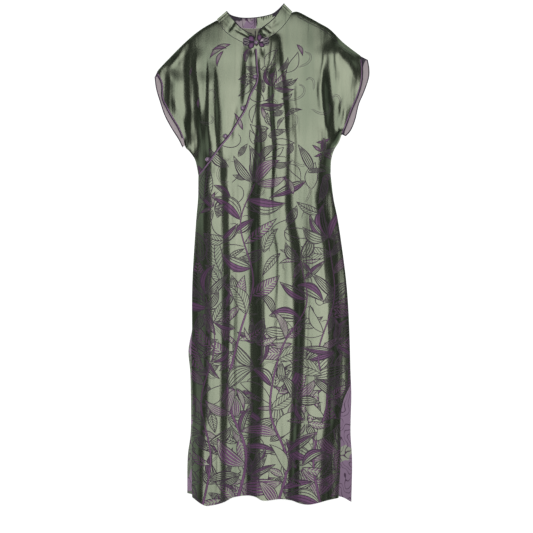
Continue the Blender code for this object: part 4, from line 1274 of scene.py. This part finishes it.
def frog_pieces(satin_look, dark, pale, knot_look):
    """The butterfly frog: two wings of petals, and the knot between them on the right wing's seat."""
    for side, rows, petals, height in (("left", LEFT_WING, LEFT_PETALS, front_height),
                                       ("right", RIGHT_WING, RIGHT_PETALS, main_height)):
        ring = smooth_line(rows + rows[:1], WING_STEPS[0])[:-1]
        coarse = smooth_line(rows + rows[:1], 3 * WING_STEPS[0])[:-1]
        seat = height(coarse).max() + COLLAR_RISE + SEAM_GAP
        closed_ring = np.vstack([ring, ring[:1]])

        def top(points, seat=seat, closed_ring=closed_ring):
            bulge = 1.0 - np.exp(-distance_to(closed_ring, points) / WING_ROUND)
            return seat + WING_WALL + WING_BULGE * bulge

        base = shell("frog_base_" + side, ring, lattice(ring, *WING_STEPS), top, WING_WALL)
        dress(base, dark, "satin_purple", "frog_" + side)
        for number, row in enumerate(petals, start=1):
            outer = number <= 3
            petal("frog_petal_%s_%d" % (side, number), row, seat + PETAL_SEAT,
                  dark if outer else pale if number == 6 else satin_look, pale if outer else dark)
    centre = (*to_world([KNOT_PLACE])[0], seat - KNOT_SINK + KNOT_RADIUS * KNOT_SQUASH)
    dress(round_ball("frog_knot_ball", centre, KNOT_RADIUS, KNOT_SQUASH), knot_look,
          "satin_purple", "frog_knot")


def slope_at(height, spot):
    """Size of a height function's slope at one place."""
    step = 0.0015
    points = np.array([spot + [step, 0], spot - [step, 0], spot + [0, step], spot - [0, step]])
    east, west, north, south = height(points)
    return math.hypot(east - west, north - south) / (2 * step)


def button_pieces(satin_look, piping):
    """Ball buttons on the side front, each in a loop of cord from the main front's edge."""
    reach = arc_lengths(PLACKET)
    normals = left_normals(PLACKET)
    apart = BUTTON_RADIUS + PIPING_RADIUS + 2 * SEAM_GAP
    end = apart - PIPING_RADIUS - SEAM_GAP
    half = LOOP_HALF_WIDTH
    loop = [(end, -half), (end / 2, -half)]
    loop += [(-half * math.sin(a), -half * math.cos(a)) for a in np.linspace(0.0, math.pi, 17)]
    loop += [(end / 2, half), (end, half)]
    for number, share in enumerate(BUTTON_PLACES, start=1):
        place, normal = (np.array([np.interp(share * reach[-1], reach, values[:, k]) for k in range(2)])
                         for values in (PLACKET, normals))
        normal /= np.linalg.norm(normal)
        along = square_to(normal)
        centre = place - normal * apart
        tilt = math.hypot(1.0, slope_at(front_height, centre))
        lift = front_height(centre[None, :])[0] + (BUTTON_RADIUS + SEAM_GAP) * tilt
        ball = round_ball("button_ball_%d" % number, (*centre, lift), BUTTON_RADIUS, BUTTON_SQUASH)
        dress(ball, satin_look, "satin_purple", "button_%d" % number)
        line = np.array([centre + normal * a + along * b for a, b in loop])
        cord("button_cord_%d" % number, line, front_height(line) + (LOOP_RADIUS + SEAM_GAP) * tilt,
             (LOOP_RADIUS, LOOP_RADIUS), piping, "piping_purple", "button_loop_%d" % number)


# Sewn lines that show on the outside, with half width, half height and sides of their sections
SEAM_CORD = (0.0006, 0.0003, 8)
SEAM_RISE = 0.0002
BACK_SEAM_CORD = (0.0014, 0.0004, 8)
BACK_SEAM_RISE = 0.0004
SHOULDER_SEAM = smooth_line([(84, 1222), (120, 1203), (165, 1178), (193, 1148), (215, 1132), (238, 1120)])
BACK_SEAM = smooth_line([(-17, 1186), (-17, 1176), (-17, 1166)])


def seams(thread):
    """Thin sewn lines round the neck, on a shoulder and up the collar's back."""
    rows = ((LEFT_NECKLINE, front_height), (RIGHT_NECKLINE, main_height), (SHOULDER_SEAM, main_height))
    for number, (path, height) in enumerate(rows, start=1):
        line = path[1:-1]
        cord("seam_%d" % number, line, height(line) + SEAM_RISE, SEAM_CORD, thread, "piping_purple")
    cord("seam_back", BACK_SEAM, CLOTH + BACK_SEAM_RISE, BACK_SEAM_CORD, thread, "piping_purple")


def studio():
    """Camera straight above, a soft overhead light, a dim room and a pale floor."""
    scene = bpy.context.scene
    scene.view_settings.view_transform = "Standard"
    lens = bpy.data.cameras.new("camera")
    lens.lens = 100.0
    lens.sensor_width = 36.0
    lens.clip_end = 50.0
    camera = placed("camera", lens, (*CAMERA_PLACE, CAMERA_HEIGHT))
    scene.camera = camera
    world = bpy.data.worlds.new("room")
    world.use_nodes = True
    tree = world.node_tree
    backdrop = tree.nodes["Background"]
    backdrop.inputs[0].default_value = ROOM_COLOUR
    way = tree.nodes.new("ShaderNodeTexCoord")
    parts = tree.nodes.new("ShaderNodeSeparateXYZ")
    glow = tree.nodes.new("ShaderNodeMapRange")
    for number, value in enumerate((*HORIZON, HORIZON_LIGHT, ROOM_LIGHT), start=1):
        glow.inputs[number].default_value = value
    tree.links.new(way.outputs["Generated"], parts.inputs[0])
    tree.links.new(parts.outputs["Z"], glow.inputs[0])
    tree.links.new(glow.outputs[0], backdrop.inputs[1])
    scene.world = world
    light = bpy.data.lights.new("overhead", "AREA")
    light.shape = "RECTANGLE"
    light.size, light.size_y = LAMP_SIZE
    light.energy = LAMP_POWER
    lamp = placed("overhead", light, LAMP_PLACE)
    lamp.visible_camera = False
    mesh = bpy.data.meshes.new("floor")
    half = FLOOR_HALF
    corners = [(x, y, -FLOOR_DROP) for x, y in ((-half, -half), (half, -half), (half, half), (-half, half))]
    mesh.from_pydata(corners, [], [(0, 1, 2, 3)])
    floor = placed("floor", mesh)
    graph = Graph("floor_white")
    graph.feed(graph.shader.inputs["Emission Color"], (1.0, 1.0, 1.0, 1.0))
    graph.feed(graph.shader.inputs["Emission Strength"], FLOOR_GLOW)
    mesh.materials.append(graph.finish((0.9, 0.9, 0.9, 1.0), 0.0, 0.9))
    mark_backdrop(floor, lamp, camera)


def sheets(back, front, side, collar_piece):
    """Work out the flat areas of the back's and both fronts' outlines, which are not kept."""
    polygon_area(back_ring())
    polygon_area(front_ring())
    polygon_area(side_ring())


def main():
    """Build every visible piece, its look and the studio."""
    studio()
    green = satin("satin_jacquard", True)
    plain_green = satin("satin_collar", False)
    reverse = reverse_cloth("satin_reverse", REVERSE, REVERSE_GREEN, 0.64)
    # dark is the dark piping's finish and also the painted shade
    piping, dark, frog_look, pale, ball, thread = (plain_cloth(name, look) for name, look in (
        ("piping_satin", PIPING), ("piping_dark_and_painted_shade", DARK_PIPING_AND_SHADE), ("frog_satin", FROG),
        ("frog_pale", FROG_PALE), ("button_satin", BUTTON), ("thread", THREAD)))
    lining = plain_cloth("facing_weave", FACING_LOOK, 900.0)
    slit_shaded_look = reverse_cloth("slit_reverse_shaded", SLIT_GREEN_SHADED, REVERSE, 0.56)
    back, front, side = panels(green, reverse, plain_cloth("neck_inside", NECK_INSIDE), dark, slit_shaded_look)
    collar_piece = dress(collar(), plain_green, "satin_green", "collar")
    line_collar(collar_piece, reverse_cloth("collar_reverse", COLLAR_LILAC, REVERSE, 0.52), dark)
    bindings(piping, dark)
    facing_pieces = facings(lining)
    frog_pieces(frog_look, dark, pale, ball)
    button_pieces(ball, piping)
    seams(thread)
    sheets(back, front, side, collar_piece)


main()
[[list(corner) for corner in box] for box in (cad_box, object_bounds())]
